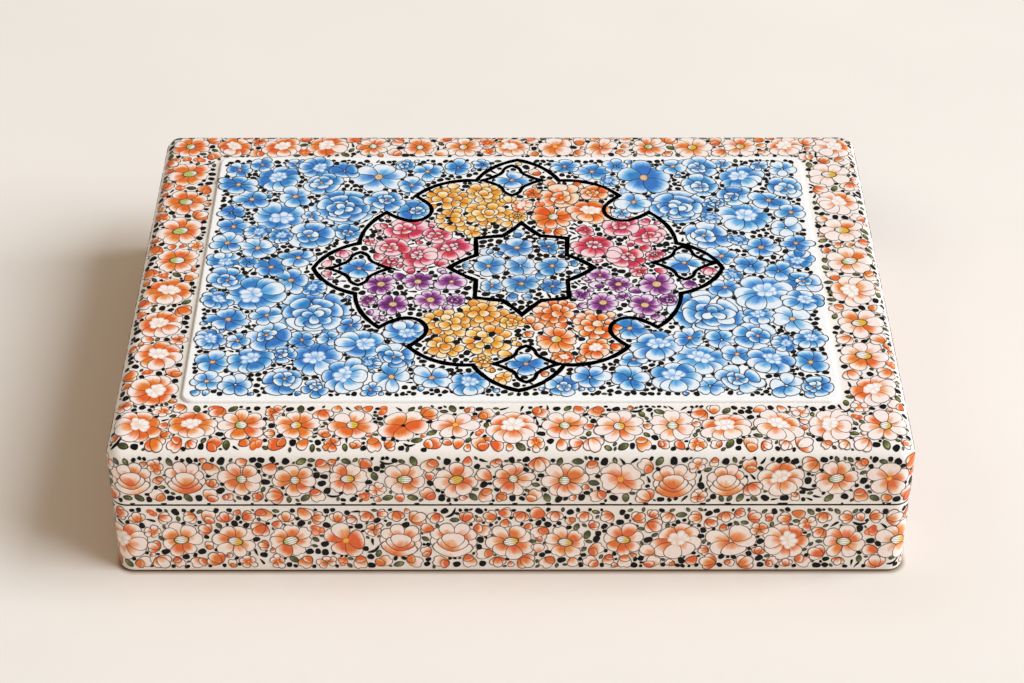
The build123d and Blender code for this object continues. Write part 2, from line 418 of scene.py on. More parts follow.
def black_lacquer(name, inside):
    """Black lacquer brushed on card: glossy, with faint brush lines and dust."""
    material, tree, shader, place = start_material(name, **LACQUER)
    dusty = (*(channel + 0.012 for channel in inside[:3]), 1.0)
    paint = ramp(tree, noise(tree, place, per_metre(6.0), 4.0), ((0.4, inside), (0.8, dusty)))
    link_surface(tree, shader, paint, lacquer_bump(tree, place))
    return material


def cotton_velvet(name, pile):
    """Short-pile cotton velvet: matt and dark face on, with a soft sheen and crushed patches."""
    finish = {"Roughness": 0.95, "Sheen Weight": 0.3, "Sheen Roughness": 0.4, "Specular IOR Level": 0.1}
    material, tree, shader, place = start_material(name, **finish)
    nap = noise(tree, place, per_metre(14.0), 3.0)
    shade = ramp(tree, nap, ((0.35, tinted(pile, 0.75, 0.75, 0.75)), (0.65, pile)))
    # single tufts are too fine to show, so they are drawn half a millimetre wide
    tufts = noise(tree, place, per_metre(0.5))
    tuft_shade = ramp(tree, tufts, ((0.3, grey(0.5)), (0.7, grey(1.0))))
    shade = blend_colours(tree, 0.5, shade, tuft_shade, "MULTIPLY")
    bump = add_node(tree, "ShaderNodeBump", {"Strength": 0.6, "Distance": 0.3 * MM, "Height": tufts})
    link_surface(tree, shader, shade, bump.outputs["Normal"])
    return material


def stamped_brass(name, brass):
    """Stamped hinge brass, tarnished in patches and rubbed bright along its scratches."""
    material, tree, shader, place = start_material(name, Metallic=1.0)
    patches = noise(tree, place, per_metre(3.0), 4.0)
    tarnish = ramp(tree, patches, ((0.38, brass), (0.72, tinted(brass, 0.42, 0.34, 0.25))))
    stretched = add_node(tree, "ShaderNodeMapping", {"Vector": place, "Scale": (1.0, 14.0, 14.0)})
    scratches = noise(tree, stretched.outputs["Vector"], per_metre(4.0), 3.0)
    gloss = add_node(tree, "ShaderNodeMapRange", {"Value": scratches, "To Min": 0.26, "To Max": 0.5})
    tree.links.new(gloss.outputs["Result"], shader.inputs["Roughness"])
    bump = add_node(tree, "ShaderNodeBump", {"Strength": 0.25, "Distance": 0.05 * MM, "Height": scratches})
    link_surface(tree, shader, tarnish, bump.outputs["Normal"])
    return material


materials = {}


def painting_materials():
    """Every paint by its name, in the order of the painting's material slots, made on first use."""
    if materials:
        return materials
    colours = bpy.context.scene.painted_box_colours
    outline = bpy.context.scene.painted_box_sizes.outline / MM

    def mix(name):
        """A colour of the panel."""
        return tuple(getattr(colours, name))

    fine_pen = 0.74 * outline  # for the orange flowers
    for paint, (*_, reach) in PAINTS.items():
        parts = [mix(f"{paint}_{part}") for part in PARTS]
        pen = fine_pen if paint == "vermilion" else outline
        materials[paint] = gouache(f"{paint}_gouache", *parts, reach, pen)
    materials["ink"] = lamp_black("lamp_black", mix("ink"))
    for kind, dots in (("gold", "tangerine_deep"), ("ochre", "heart_brown")):
        pair = mix(f"heart_{kind}"), mix(dots)
        materials[f"{kind}_heart"] = stippled_heart(f"stippled_{kind}_heart", *pair, outline)
    shades = [mix(name) for name in ("heart_gold", "heart_lime", "blush_pale", "olive_line")]
    materials["ribbed_heart"] = ribbed_heart("ribbed_lime_heart", *shades, outline)
    return materials


# ---- Surfaces: a pattern point in millimetres to a place on the box -----------------------
def field_surface(points, height):
    """The raised field: the pattern lies flat on its top."""
    place = np.column_stack((points, field_top_z + height))
    normal = np.tile((0.0, 0.0, 1.0), (len(points), 1))
    return place, normal


def border_surface(points, height):
    """The lid's flat border and its rounded edge.

    The pattern is flat inside the edge's rounding. A point further out by d lies at the
    angle d / radius round the quarter circle, straight out from the rounded rectangle.
    """
    radius = top_edge_radius
    core = np.array([half_width - corner_radius, half_depth - corner_radius])
    nearest = np.clip(points, -core, core)
    out = points - nearest
    reach = np.linalg.norm(out, axis=1)
    direction = out / np.maximum(reach, 1e-9)[:, None]
    flat_reach = corner_radius - radius
    past = np.maximum(reach - flat_reach, 0.0)
    angle = np.minimum(past / radius, math.pi / 2)
    rounded = nearest + direction * (flat_reach + radius * np.sin(angle))[:, None]
    plan = np.where((past > 0)[:, None], rounded, points)
    drop = radius * (1 - np.cos(angle))
    normal = np.column_stack((direction * np.sin(angle)[:, None], np.cos(angle)))
    place = np.column_stack((plan, lid_top_z - drop)) + normal * height[:, None]
    return place, normal


def perimeter_path():
    """The box's outline from above as arrays of distance, X, Y and outward direction.

    It starts and ends at the middle of the back, passes the middle of the front at distance
    0, and runs towards +X there: straight sides joined by quarter circles.
    """
    corner_steps = 24
    a = half_width - corner_radius
    b = half_depth - corner_radius
    corners = (((-a, b), 90), ((-a, -b), 180), ((a, -b), 270), ((a, b), 360))
    xs, ys, angles = [0.0], [half_depth], [math.pi / 2]
    for (x, y), start in corners:
        turn = np.radians(start + np.linspace(0, 90, corner_steps + 1))
        xs.extend(x + corner_radius * np.cos(turn))
        ys.extend(y + corner_radius * np.sin(turn))
        angles.extend(turn)
    xs.append(0.0)
    ys.append(half_depth)
    angles.append(math.pi / 2 + TAU)
    xs, ys, angles = map(np.array, (xs, ys, angles))
    along = np.concatenate(([0.0], np.cumsum(np.hypot(np.diff(xs), np.diff(ys)))))
    return along - along[-1] / 2, xs, ys, angles


path_along, path_x, path_y, path_angle = perimeter_path()
perimeter = path_along[-1] - path_along[0]


def skirt_surface(points, height):
    """The upright sides: distance round the box and height above the table.

    Above the start of the lid's rounding the pattern follows the quarter circle inwards.
    """
    along = (points[:, 0] + perimeter / 2) % perimeter - perimeter / 2
    angle = np.interp(along, path_along, path_angle)
    x = np.interp(along, path_along, path_x)
    y = np.interp(along, path_along, path_y)
    outward = np.column_stack((np.cos(angle), np.sin(angle)))
    spring = lid_top_z - top_edge_radius
    tilt = np.clip(points[:, 1] - spring, 0.0, None) / top_edge_radius
    plan = np.column_stack((x, y)) - outward * (top_edge_radius * (1 - np.cos(tilt)))[:, None]
    z = np.minimum(points[:, 1], spring) + top_edge_radius * np.sin(tilt)
    normal = np.column_stack((outward * np.cos(tilt)[:, None], np.sin(tilt)))
    return np.column_stack((plan, z)) + normal * height[:, None], normal


# ---- Brush strokes -----------------------------------------------------------------------
def disc_outline(turn):
    """A circle, from its base round to its base again."""
    return 0.5 - 0.5 * np.cos(turn), -0.5 * np.sin(turn)


def petal_outline(turn):
    """An egg, broader towards its tip."""
    along, across = disc_outline(turn)
    return along, across * (0.64 + 0.6 * along)


def notched_outline(turn):
    """A petal with a shallow notch in its tip."""
    along, across = petal_outline(turn)
    return along - 0.11 * np.exp(-((across / 0.13) ** 2)) * (along > 0.5), across


def leaf_outline(turn):
    """A willow leaf: a circle pinched at both ends."""
    return 0.5 - 0.5 * np.cos(turn), -0.5 * np.sign(np.sin(turn)) * np.abs(np.sin(turn)) ** 1.35


def dab_outline(turn):
    """A brush dab: a squared oval, fuller at one end."""
    cos, sin = np.cos(turn), np.sin(turn)
    along = 0.5 - 0.5 * np.sign(cos) * np.abs(cos) ** 0.8
    return along, -0.5 * np.sign(sin) * np.abs(sin) ** 0.8 * (0.8 + 0.26 * along)


def comma_outline(turn):
    """A round head drawn out into a bent tail."""
    along, across = disc_outline(turn)
    return along, across * (1 - 0.78 * along) + 0.5 * along**2 - 0.12


def curl_outline(turn):
    """A bent brush stroke, thinner towards its end."""
    along, across = disc_outline(turn)
    return along, across * (1 - 0.5 * along) + 3.0 * (along - 0.45) ** 2 - 0.4


def crescent_outline(turn):
    """A wide petal bent round the flower's middle."""
    along, across = disc_outline(turn)
    return along * (0.62 + 0.38 * np.cos(2.6 * across)), across


class Brush:
    """One stroke shape as a closed mesh: rings from a core out to the rim, a wall and a foot.

    The shape runs from 0 at its base to 1 at its tip, and half a unit to each side.
    """

    def __init__(self, outline, segments, rings):
        turn = np.arange(segments) * TAU / segments
        rim = np.column_stack(outline(turn))
        middle = rim.mean(0)
        loops = [middle + ring * (rim - middle) for ring in rings]
        self.points = np.vstack([middle[None], *loops, rim])
        insets = [np.full(segments, 1.0 - ring) for ring in rings]
        self.inset = np.concatenate([[1.0], *insets, np.ones(segments)])
        self.on_top = np.concatenate([np.ones(1 + segments * len(rings)), np.zeros(segments)])
        first = 1 + segments * np.arange(len(rings) + 1)
        here = np.arange(segments)
        after = (here + 1) % segments
        cap = [np.column_stack((np.zeros(segments, int), first[0] + here, first[0] + after))]
        for inner, outer in zip(first[:-2], first[1:-1]):
            cap.append(np.column_stack((inner + here, outer + here, outer + after)))
            cap.append(np.column_stack((inner + here, outer + after, inner + after)))
        top, foot = first[-2], first[-1]
        wall = [
            np.column_stack((top + here, foot + here, foot + after)),
            np.column_stack((top + here, foot + after, top + after)),
        ]
        base = np.column_stack((foot + 0 * here, foot + after, foot + here))[1:-1]
        parts = (base, np.vstack(wall), np.vstack(cap))
        self.faces = np.vstack(parts)
        self.layer = np.repeat((0, 1, 2), [len(part) for part in parts])


def brush_set(outline, segments, rings, finer_rings, finest_rings):
    """One outline as three meshes: for flat ground, for a gentle bend and for a round edge."""
    return (
        Brush(outline, segments, rings),
        Brush(outline, round(1.5 * segments), finer_rings),
        Brush(outline, round(2.2 * segments), finest_rings),
    )


FLAT_RINGS = (0.55, 0.86, 1.0)
BENT_RINGS = (0.3, 0.58, 0.86, 1.0)
ROUND_RINGS = (0.17, 0.34, 0.51, 0.68, 0.86, 1.0)
BRUSHES = {
    "petal": brush_set(petal_outline, 14, FLAT_RINGS, BENT_RINGS, ROUND_RINGS),
    "notched": brush_set(notched_outline, 16, FLAT_RINGS, BENT_RINGS, ROUND_RINGS),
    "crescent": brush_set(crescent_outline, 16, FLAT_RINGS, BENT_RINGS, ROUND_RINGS),
    "disc": brush_set(disc_outline, 12, (0.6, 1.0), (0.5, 1.0), BENT_RINGS),
    "dab": brush_set(dab_outline, 10, (1.0,), (0.5, 1.0), (0.5, 1.0)),
    "leaf": brush_set(leaf_outline, 12, (0.6, 1.0), (0.5, 1.0), BENT_RINGS),
    "comma": brush_set(comma_outline, 12, (1.0,), (0.5, 1.0), BENT_RINGS),
    "curl": brush_set(curl_outline, 16, (0.5, 1.0), (0.5, 1.0), BENT_RINGS),
}
PAINT_ORDER = (*PAINTS, "ink", "gold_heart", "ochre_heart", "ribbed_heart")


def polar(x, y, angle, reach):
    """The point at an angle and a reach from x, y."""
    return x + reach * math.cos(angle), y + reach * math.sin(angle)


class Canvas:
    """Brush strokes and lines gathered on a flat pattern before they become meshes.

    Each painting has a number, so that no two scatter their flowers alike. fade is how much
    paler it is at its right end than in its middle: a painted sheen, as if the lacquer caught
    the light towards the right.
    """

    def __init__(self, surface, sizes, number, step, largest_dab, fade=0.0):
        self.surface = surface
        self.rng = np.random.default_rng(sizes.seed + number)
        self.thickness = sizes.paint / MM
        self.step = step
        self.largest_dab = largest_dab
        self.fade = fade
        self.strokes = {name: [] for name in BRUSHES}
        self.lines = []
        self.laid = []

    def begin(self, x, y, radius):
        """The height at which a motif starts: above every motif it overlaps, up to highest_start.

        Its strokes are a step apart, and they fall between those of the motifs close by: two
        strokes level with each other would flicker where they cross.
        """
        overlap, nearby = 0.95, 1.3  # distances between two motifs over the sum of their radii
        close = [
            (math.hypot(cx - x, cy - y) / (r + radius), top)
            for cx, cy, r, top in self.laid
            if math.hypot(cx - x, cy - y) < nearby * (r + radius)
        ]
        below = max((top for apart, top in close if apart < overlap), default=self.thickness)
        phases = np.arange(8) / 8
        phase = 0.0
        if close:
            levels = np.array([top for _, top in close]) / self.step
            phase = phases[np.abs((phases[:, None] - levels + 0.5) % 1 - 0.5).min(1).argmax()]
        return (math.floor(min(below, highest_start) / self.step) + 2 + phase) * self.step

    def stroke(self, brush, x, y, angle, length, width, paint, lift, tone=0.0):
        """Lay one stroke with its base at x, y, pointing along angle. A higher tone is paler."""
        # paler towards the right end by fade: a painted sheen
        tone += self.rng.normal(0, 0.13) + self.fade * x / half_width
        self.strokes[brush].append((x, y, angle, length, width, PAINT_ORDER.index(paint), lift, tone))

    def spot(self, brush, x, y, radius, paint, lift, angle=0.0, stretch=1.0, tone=0.0):
        """Lay one stroke centred on x, y."""
        reach = radius * stretch
        base = polar(x, y, angle, -reach)
        self.stroke(brush, *base, angle, 2 * reach, 2 * radius, paint, lift, tone)

    def line(self, points, width, lift):
        """Lay one ink line along a closed outline."""
        self.lines.append((points, width, lift))

    def bend_levels(self, rows):
        """How much the ground bends under each stroke: 0 flat, 1 gently, 2 round.

        A bend of a radians over a length l sags l * a / 8 in one chord, and 1 / n^2 of that
        in n chords.
        """
        x, y, angle, long, wide = rows[:, :5].T
        middle = np.column_stack((x + 0.5 * long * np.cos(angle), y + 0.5 * long * np.sin(angle)))
        ahead = 0.5 * long[:, None] * np.column_stack((np.cos(angle), np.sin(angle)))
        aside = 0.5 * wide[:, None] * np.column_stack((-np.sin(angle), np.cos(angle)))
        sag = np.zeros(len(rows))
        for reach, size in ((ahead, long), (aside, wide)):
            _, one = self.surface(middle - reach, np.zeros(len(rows)))
            _, other = self.surface(middle + reach, np.zeros(len(rows)))
            bend = 2 * np.arcsin(np.clip(np.linalg.norm(one - other, axis=1) / 2, 0, 1))
            sag = np.maximum(sag, size * bend / 8)
        return np.digitize(sag, bend_sags)

    def gather(self):
        """All strokes and lines as arrays, by point: the pattern point, its height, its depth in
        from the rim and towards the core, its stroke place and its tone; and by face: its
        corners, its paint, the order it is painted in and the pattern X of its stroke."""
        found = []
        start = 0
        jobs = []
        for name, rows in self.strokes.items():
            if rows:
                rows = np.array(rows)
                level = self.bend_levels(rows)
                jobs += [(BRUSHES[name][k], rows[level == k]) for k in range(3) if (level == k).any()]
        for brush, rows in jobs:
            x, y, angle, long, wide, paint, lift, tone = rows.T
            local = brush.points[None] * np.stack((long, wide), 1)[:, None]
            cos, sin = np.cos(angle)[:, None], np.sin(angle)[:, None]
            px = x[:, None] + local[..., 0] * cos - local[..., 1] * sin
            py = y[:, None] + local[..., 0] * sin + local[..., 1] * cos
            height = np.where(brush.on_top > 0, lift[:, None], -sink)
            narrow = np.minimum(long, wide)[:, None] / 2
            count, size = px.shape
            faces = brush.faces[None] + (start + size * np.arange(count))[:, None, None]
            order = brush.layer[None] * layer_gap + lift[:, None]
            found.append(
                {
                    "points": np.stack((px, py), -1).reshape(-1, 2),
                    "height": height.ravel(),
                    "rim": (brush.inset[None] * narrow).ravel(),
                    "core": np.tile(brush.inset * brush.on_top, count),
                    "stroke": np.tile(brush.points + (0, 0.5), (count, 1)),
                    "tone": np.repeat(tone, size),
                    "faces": faces.reshape(-1, 3),
                    "paint": np.repeat(paint.astype(int), len(brush.faces)),
                    "order": order.ravel(),
                    "where": np.repeat(x, len(brush.faces)),
                }
            )
            start += count * size
        for line in self.lines:
            band = ink_band(*line)
            band["faces"] = band["faces"] + start
            start += len(band["points"])
            found.append(band)
        return {key: np.concatenate([part[key] for part in found]) for key in found[0]}

    def build(self, name, body, map_of, keep=None):
        """Make one mesh piece from the strokes whose pattern X passes keep, and let it ride.

        map_of gives each point's place on the painting's own flat picture, for its UV map.
        """
        data = self.gather()
        if keep is not None:
            chosen = keep(data["where"])
            for key in ("faces", "paint", "order"):
                data[key] = data[key][chosen]
            used, compact = np.unique(data["faces"], return_inverse=True)
            data["faces"] = compact.reshape(-1, 3)
            for key in ("points", "height", "rim", "core", "stroke", "tone"):
                data[key] = data[key][used]
        painted_first = np.argsort(data["order"], kind="stable")
        faces = data["faces"][painted_first]
        paint = data["paint"][painted_first]
        place, normal = self.surface(data["points"], data["height"])
        mesh = bpy.data.meshes.new(name)
        mesh.vertices.add(len(place))
        mesh.vertices.foreach_set("co", (place * MM).astype(np.float32).ravel())
        mesh.loops.add(faces.size)
        mesh.loops.foreach_set("vertex_index", faces.astype(np.int32).ravel())
        mesh.polygons.add(len(faces))
        mesh.polygons.foreach_set("loop_start", np.arange(0, faces.size, 3, dtype=np.int32))
        mesh.polygons.foreach_set("material_index", paint.astype(np.int32))
        mesh.polygons.foreach_set("use_smooth", np.ones(len(faces), bool))
        for layer, values in (("Stroke", data["stroke"]), ("OFBake", map_of(data["points"]))):
            uv = mesh.uv_layers.new(name=layer)
            uv.data.foreach_set("uv", values[faces.ravel()].astype(np.float32).ravel())
        for layer in ("rim", "core", "tone"):
            store = mesh.attributes.new(layer, "FLOAT", "POINT")
            store.data.foreach_set("value", data[layer].astype(np.float32))
        mesh.update()
        mesh.normals_split_custom_set_from_vertices(normal.astype(np.float32).tolist())
        piece = bpy.data.objects.new(name, mesh)
        bpy.context.scene.collection.objects.link(piece)
        shared = painting_materials()
        for paint_name in PAINT_ORDER:
            mesh.materials.append(shared[paint_name])
        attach(piece, body)


def ink_band(points, width, lift):
    """A closed line of ink: a low section carried along a path, mitred at its corners."""
    into = points - np.roll(points, 1, axis=0)
    away = np.roll(points, -1, axis=0) - points
    into /= np.linalg.norm(into, axis=1)[:, None]
    away /= np.linalg.norm(away, axis=1)[:, None]
    side_in = np.column_stack((into[:, 1], -into[:, 0]))
    side_out = np.column_stack((away[:, 1], -away[:, 0]))
    mitre = side_in + side_out
    mitre /= np.linalg.norm(mitre, axis=1)[:, None]
    sharpest = 0.42  # the cosine of half the turn past which a mitre isn't drawn out further
    mitre /= np.maximum((mitre * side_in).sum(1), sharpest)[:, None]
    count = len(points)
    # a flat nib: broader where the line runs across the box, and never quite even
    nib = 1 + 0.2 * np.abs(away[:, 0])
    wobble = nib + 0.09 * np.sin(np.arange(count) * 0.31) + 0.06 * np.sin(np.arange(count) * 0.83 + 1)
    # the section: foot, shoulder, crown, shoulder, foot
    offsets = np.array((0.5, 0.44, 0.0, -0.44, -0.5))
    heights = np.array((-sink, lift, lift + 0.02, lift, -sink))
    size = len(offsets)
    places = points[:, None] + mitre[:, None] * (offsets[None, :, None] * width * wobble[:, None, None])
    here = np.arange(count)[:, None] * size
    after = (np.arange(count) + 1)[:, None] % count * size
    ring = np.arange(size)[None]
    ring_after = (ring + 1) % size
    a, b = here + ring, here + ring_after
    c, d = after + ring_after, after + ring
    faces = np.concatenate((np.stack((a, b, c), -1), np.stack((a, c, d), -1)), 1).reshape(-1, 3)
    layer = np.tile(np.array((1, 2, 2, 1, 0) * 2), count)
    return {
        "points": places.reshape(-1, 2),
        "height": np.tile(heights, count),
        "rim": np.tile((0.5 - np.abs(offsets)) * width, count),
        "core": np.full(count * size, 0.5),
        "stroke": np.column_stack((np.repeat(0.1 * np.arange(count), size), np.tile(offsets + 0.5, count))),
        "tone": np.full(count * size, 0.5),
        "faces": faces,
        "paint": np.full(len(faces), PAINT_ORDER.index("ink")),
        "order": layer * layer_gap + lift,
        "where": np.repeat(points[:, 0], 2 * size),
    }


# ---- Motifs ------------------------------------------------------------------------------
def motif(draw):
    """Start a motif above those it overlaps, and note the height of its last stroke."""

    def painted(canvas, x, y, radius, *rest):
        lift = canvas.begin(x, y, radius)
        top = draw(canvas, canvas.rng, x, y, radius, lift, *rest)
        canvas.laid.append((x, y, radius, top))

    return painted


def oval_point(x, y, angle, reach, oval):
    """The point at an angle and reach from x, y in a flower drawn out by oval's stretch and lean."""
    stretch, lean = oval
    u, v = reach * math.cos(angle) * stretch, reach * math.sin(angle) / stretch
    return x + u * math.cos(lean) - v * math.sin(lean), y + u * math.sin(lean) + v * math.cos(lean)


def lay_petal(canvas, x, y, angle, near, far, width, paint, lift, tone, brush="petal", oval=(1.0, 0.0)):
    """One petal of a flower seen aslant, from the reach near to the reach far."""
    x0, y0 = oval_point(x, y, angle, near, oval)
    x1, y1 = oval_point(x, y, angle, far, oval)
    wider = math.hypot(math.sin(angle) * oval[0], math.cos(angle) / oval[0])
    way = math.atan2(y1 - y0, x1 - x0)
    canvas.stroke(brush, x0, y0, way, math.hypot(x1 - x0, y1 - y0), width * wider, paint, lift, tone)


def petal_ring(canvas, x, y, count, inner, outer, paint, lift, turn, overlap=1.2, tone=0.0, **look):
    """A ring of petals from the radius inner to outer, each laid over the one before."""
    rng = canvas.rng
    width = overlap * TAU * (inner + 0.62 * (outer - inner)) / count
    for k in range(count):
        angle = turn + TAU * k / count + rng.normal(0, 0.1)
        far = inner + (outer - inner) * rng.uniform(0.82, 1.05)
        wide = width * rng.uniform(0.88, 1.14)
        lay_petal(canvas, x, y, angle, inner, far, wide, paint, lift + k * canvas.step, tone, **look)
    return lift + count * canvas.step


def some_oval(rng, most):
    """How a flower is drawn out: a stretch from 1 to most, and its lean."""
    return rng.uniform(1.0, most), rng.uniform(-1.3, 1.3)


def heart_of(paint):
    """The paint of the small hearts in flowers of this paint."""
    return "ochre_heart" if paint in ("lapis", "sky", "violet", "madder") else "gold_heart"


@motif
def blossom(canvas, rng, x, y, radius, lift, paint, petals=5):
    """An open flower: one ring of broad petals round a small heart."""
    turn = rng.uniform(0, TAU)
    brush = "notched" if rng.random() < 0.2 else "petal"
    tone = rng.normal(0, 0.08)
    look = {"brush": brush, "oval": some_oval(rng, 1.22)}
    top = petal_ring(canvas, x, y, petals, 0.05 * radius, radius, paint, lift, turn, 1.08, tone, **look)
    if radius > 2.9 and rng.random() < 0.75:
        heart = max(0.15 * radius, 0.6)
        canvas.spot("disc", x, y, heart, heart_of(paint), top + canvas.step, turn, rng.uniform(1.0, 1.3))
    return top + canvas.step


@motif
def axial_blossom(canvas, rng, x, y, radius, lift, paint):
    """A flower of four petals along the X and Y axes, as each quatrefoil holds."""
    oval = (1.12, 0.0)
    top = petal_ring(canvas, x, y, 4, 0.05 * radius, radius, paint, lift, 0.0, 0.86, -0.04, oval=oval)
    canvas.spot("disc", x, y, 0.13 * radius, "ochre_heart", top + canvas.step, 0.0, 1.2)
    return top + canvas.step


@motif
def double_blossom(canvas, rng, x, y, radius, lift, paint):
    """A flower of two rings, the inner one a small cup to one side."""
    turn = rng.uniform(0, TAU)
    oval = some_oval(rng, 1.2)
    top = petal_ring(canvas, x, y, 6, 0.2 * radius, radius, paint, lift, turn, tone=-0.08, oval=oval)
    cx, cy = polar(x, y, rng.uniform(0, TAU), 0.14 * radius)
    cup = radius * rng.uniform(0.42, 0.6)
    top = petal_ring(canvas, cx, cy, 5, 0.02 * radius, cup, paint, top, turn + 0.5, tone=0.04, oval=oval)
    if radius > 4.4:
        canvas.spot("disc", cx, cy, 0.1 * radius, heart_of(paint), top + canvas.step)
    return top + canvas.step


# Fans of the cupped blossom round the way it faces: angle, tone and reach of each petal, then
# angle and reach of each lobe of its throat.
CUP_PETALS = (
    (-0.1, -0.26, 0.92), (-0.95, -0.24, 0.95), (0.85, -0.24, 0.95), (-1.8, -0.1, 1.0),
    (1.75, -0.1, 1.0), (-2.55, 0.03, 0.98), (2.5, 0.03, 0.98), (3.14, 0.08, 0.94),
)
CUP_LOBES = ((-1.5, 0.5), (1.5, 0.5), (-0.85, 0.52), (0.8, 0.52), (0.0, 0.5), (2.5, 0.36), (-2.4, 0.38))


@motif
def cupped_blossom(canvas, rng, x, y, radius, lift, paint, throat, way):
    """A flower seen into its cup: a ragged pale throat before deep back petals."""
    oval = some_oval(rng, 1.16)
    for k, (fan, tone, reach) in enumerate(CUP_PETALS):
        angle = way + fan + rng.normal(0, 0.07)
        far = reach * radius * rng.uniform(0.92, 1.06)
        level = lift + k * canvas.step
        lay_petal(canvas, x, y, angle, 0.12 * radius, far, 0.74 * radius, paint, level, tone, oval=oval)
    lift += len(CUP_PETALS) * canvas.step
    cx, cy = polar(x, y, way, 0.08 * radius)
    for k, (fan, reach) in enumerate(CUP_LOBES):
        angle = way + fan + rng.normal(0, 0.12)
        far = reach * radius * rng.uniform(0.72, 1.0)
        level = lift + k * canvas.step
        lay_petal(canvas, cx, cy, angle, 0.0, far, 0.3 * radius, throat, level, 0.22, oval=oval)
    return lift + len(CUP_LOBES) * canvas.step


@motif
def peony(canvas, rng, x, y, radius, lift, paint):
    """A full peony: rings of wide petals closing on an off-centre cup."""
    aside = rng.uniform(0, TAU)
    oval = (rng.uniform(1.02, 1.14), rng.uniform(-0.6, 0.6))
    rings = ((9, 0.50, 1.0, "petal"), (7, 0.30, 0.78, "petal"), (6, 0.12, 0.56, "crescent"))
    for step, (count, inner, outer, brush) in enumerate(rings):
        cx, cy = polar(x, y, aside, 0.07 * step * radius)
        turn = rng.uniform(0, TAU)
        reaches = (inner * radius, outer * radius)
        look = {"brush": brush, "oval": oval}
        lift = petal_ring(canvas, cx, cy, count, *reaches, paint, lift, turn, 1.24, -0.06, **look)
    cx, cy = polar(x, y, aside, 0.14 * radius)
    for k, offset in enumerate((2.2, -2.2, 0.0)):
        way = aside + offset
        place = polar(cx, cy, way, 0.13 * radius)
        canvas.spot("petal", *place, 0.15 * radius, paint, lift + k * canvas.step, way, 1.5, 0.05)
    return lift + 3 * canvas.step


@motif
def daisy(canvas, rng, x, y, radius, lift, paint, petals, oval=1.0):
    """A flower of narrower petals round a large heart."""
    turn = rng.uniform(0, TAU)
    brush = "notched" if rng.random() < 0.3 else "petal"
    top = petal_ring(canvas, x, y, petals, 0.14 * radius, radius, paint, lift, turn, 1.1, brush=brush)
    lean = rng.uniform(-0.4, 0.4)
    heart = "ochre_heart" if paint in ("violet", "madder") else "ribbed_heart"
    canvas.spot("disc", x, y, 0.24 * radius, heart, top + canvas.step, lean, oval)
    return top + canvas.step


@motif
def profile_rose(canvas, rng, x, y, radius, lift, paint):
    """A rose from the side: a round bud in a saucer of petals, others fanned out behind."""
    up = math.pi / 2 + rng.uniform(-0.25, 0.25)
    fans = (-1.75, 1.75, -1.15, 1.15, -0.45, 0.45)
    for k, fan in enumerate(fans):
        angle = up + fan + rng.normal(0, 0.06)
        base = polar(x, y, angle, 0.1 * radius)
        long = 0.86 * radius * rng.uniform(0.88, 1.08)
        canvas.stroke("petal", *base, angle, long, 0.62 * radius, paint, lift + k * canvas.step)
    lift += len(fans) * canvas.step
    for k, (drop, wide, deep) in enumerate(((0.92, 1.65, 0.86), (0.62, 1.3, 0.8), (0.42, 0.95, 0.78))):
        base = polar(x, y, up, -drop * radius)
        canvas.stroke("petal", *base, up, deep * radius, wide * radius, paint, lift + k * canvas.step, 0.05)
    return lift + 2 * canvas.step


@motif
def posy(canvas, rng, x, y, radius, lift, paint):
    """A posy of small round petals heaped from the outside in, with a dab of ink here and there."""
    grain = 2.0
    ring = radius - grain
    while ring > 0.5 * grain:
        count = max(3, round(TAU * ring / (1.7 * grain)))
        turn = rng.uniform(0, TAU)
        for k in range(count):
            angle = turn + TAU * k / count + rng.normal(0, 0.06)
            size = grain * rng.uniform(0.85, 1.15)
            place = polar(x, y, angle, ring)
            if rng.random() < 0.12:
                canvas.spot("dab", *place, 0.55 * size, "ink", lift + 0.25 * canvas.step, angle, 1.2)
            else:
                canvas.spot("petal", *place, size, paint, lift, angle + rng.normal(0, 0.4), 1.12, -0.05)
            lift += 0.5 * canvas.step
        ring -= 1.4 * grain
    canvas.spot("petal", x, y, grain, paint, lift, rng.uniform(0, TAU), 1.1)
    return lift


def depth_of(paint):
    """The tone of small motifs: the orange ones are painted deeper than the large flowers."""
    return -0.2 if paint == "vermilion" else 0.0


@motif
def folded_petal(canvas, rng, x, y, radius, lift, paint):
    """A broad pale petal with a deeper one folded across its base."""
    angle = rng.uniform(0, TAU)
    base = polar(x, y, angle, -0.9 * radius)
    tone = depth_of(paint)
    top = lift + canvas.step
    canvas.stroke("notched", *base, angle, 1.85 * radius, 1.5 * radius, paint, lift, tone + 0.06)
    fold = angle + rng.uniform(-0.5, 0.5)
    canvas.stroke("petal", *base, fold, 0.95 * radius, 1.25 * radius, paint, top, tone - 0.2)
    return top


# The paint of the soft blots that go with each flower paint.
BLOTS = {"vermilion": "flame", "tangerine": "flame", "gold": "flame", "lapis": "frost", "sky": "frost"}


@motif
def blot(canvas, rng, x, y, radius, lift, paint):
    """Two or three soft dabs of paint without an outline."""
    angle = rng.uniform(0, TAU)
    soft = BLOTS.get(paint, paint)
    for k in range(rng.integers(2, 4)):
        place = polar(x, y, angle + 2.1 * k, 0.36 * radius)
        lean = angle + rng.normal(0, 0.6)
        tone = -0.1 + 0.12 * k
        canvas.spot("dab", *place, 0.5 * radius, soft, lift + k * canvas.step, lean, 1.3, tone)
    return lift + 2 * canvas.step


@motif
def bud(canvas, rng, x, y, radius, lift, paint):
    """A bud: a middle petal over two side petals."""
    angle = rng.uniform(0, TAU)
    base = polar(x, y, angle, -0.85 * radius)
    tone = depth_of(paint)
    for side in (-0.6, 0.6):
        canvas.stroke("petal", *base, angle + side, 1.55 * radius, 1.1 * radius, paint, lift, tone)
        lift += canvas.step
    canvas.stroke("petal", *base, angle, 1.8 * radius, 1.25 * radius, paint, lift, tone + 0.08)
    return lift


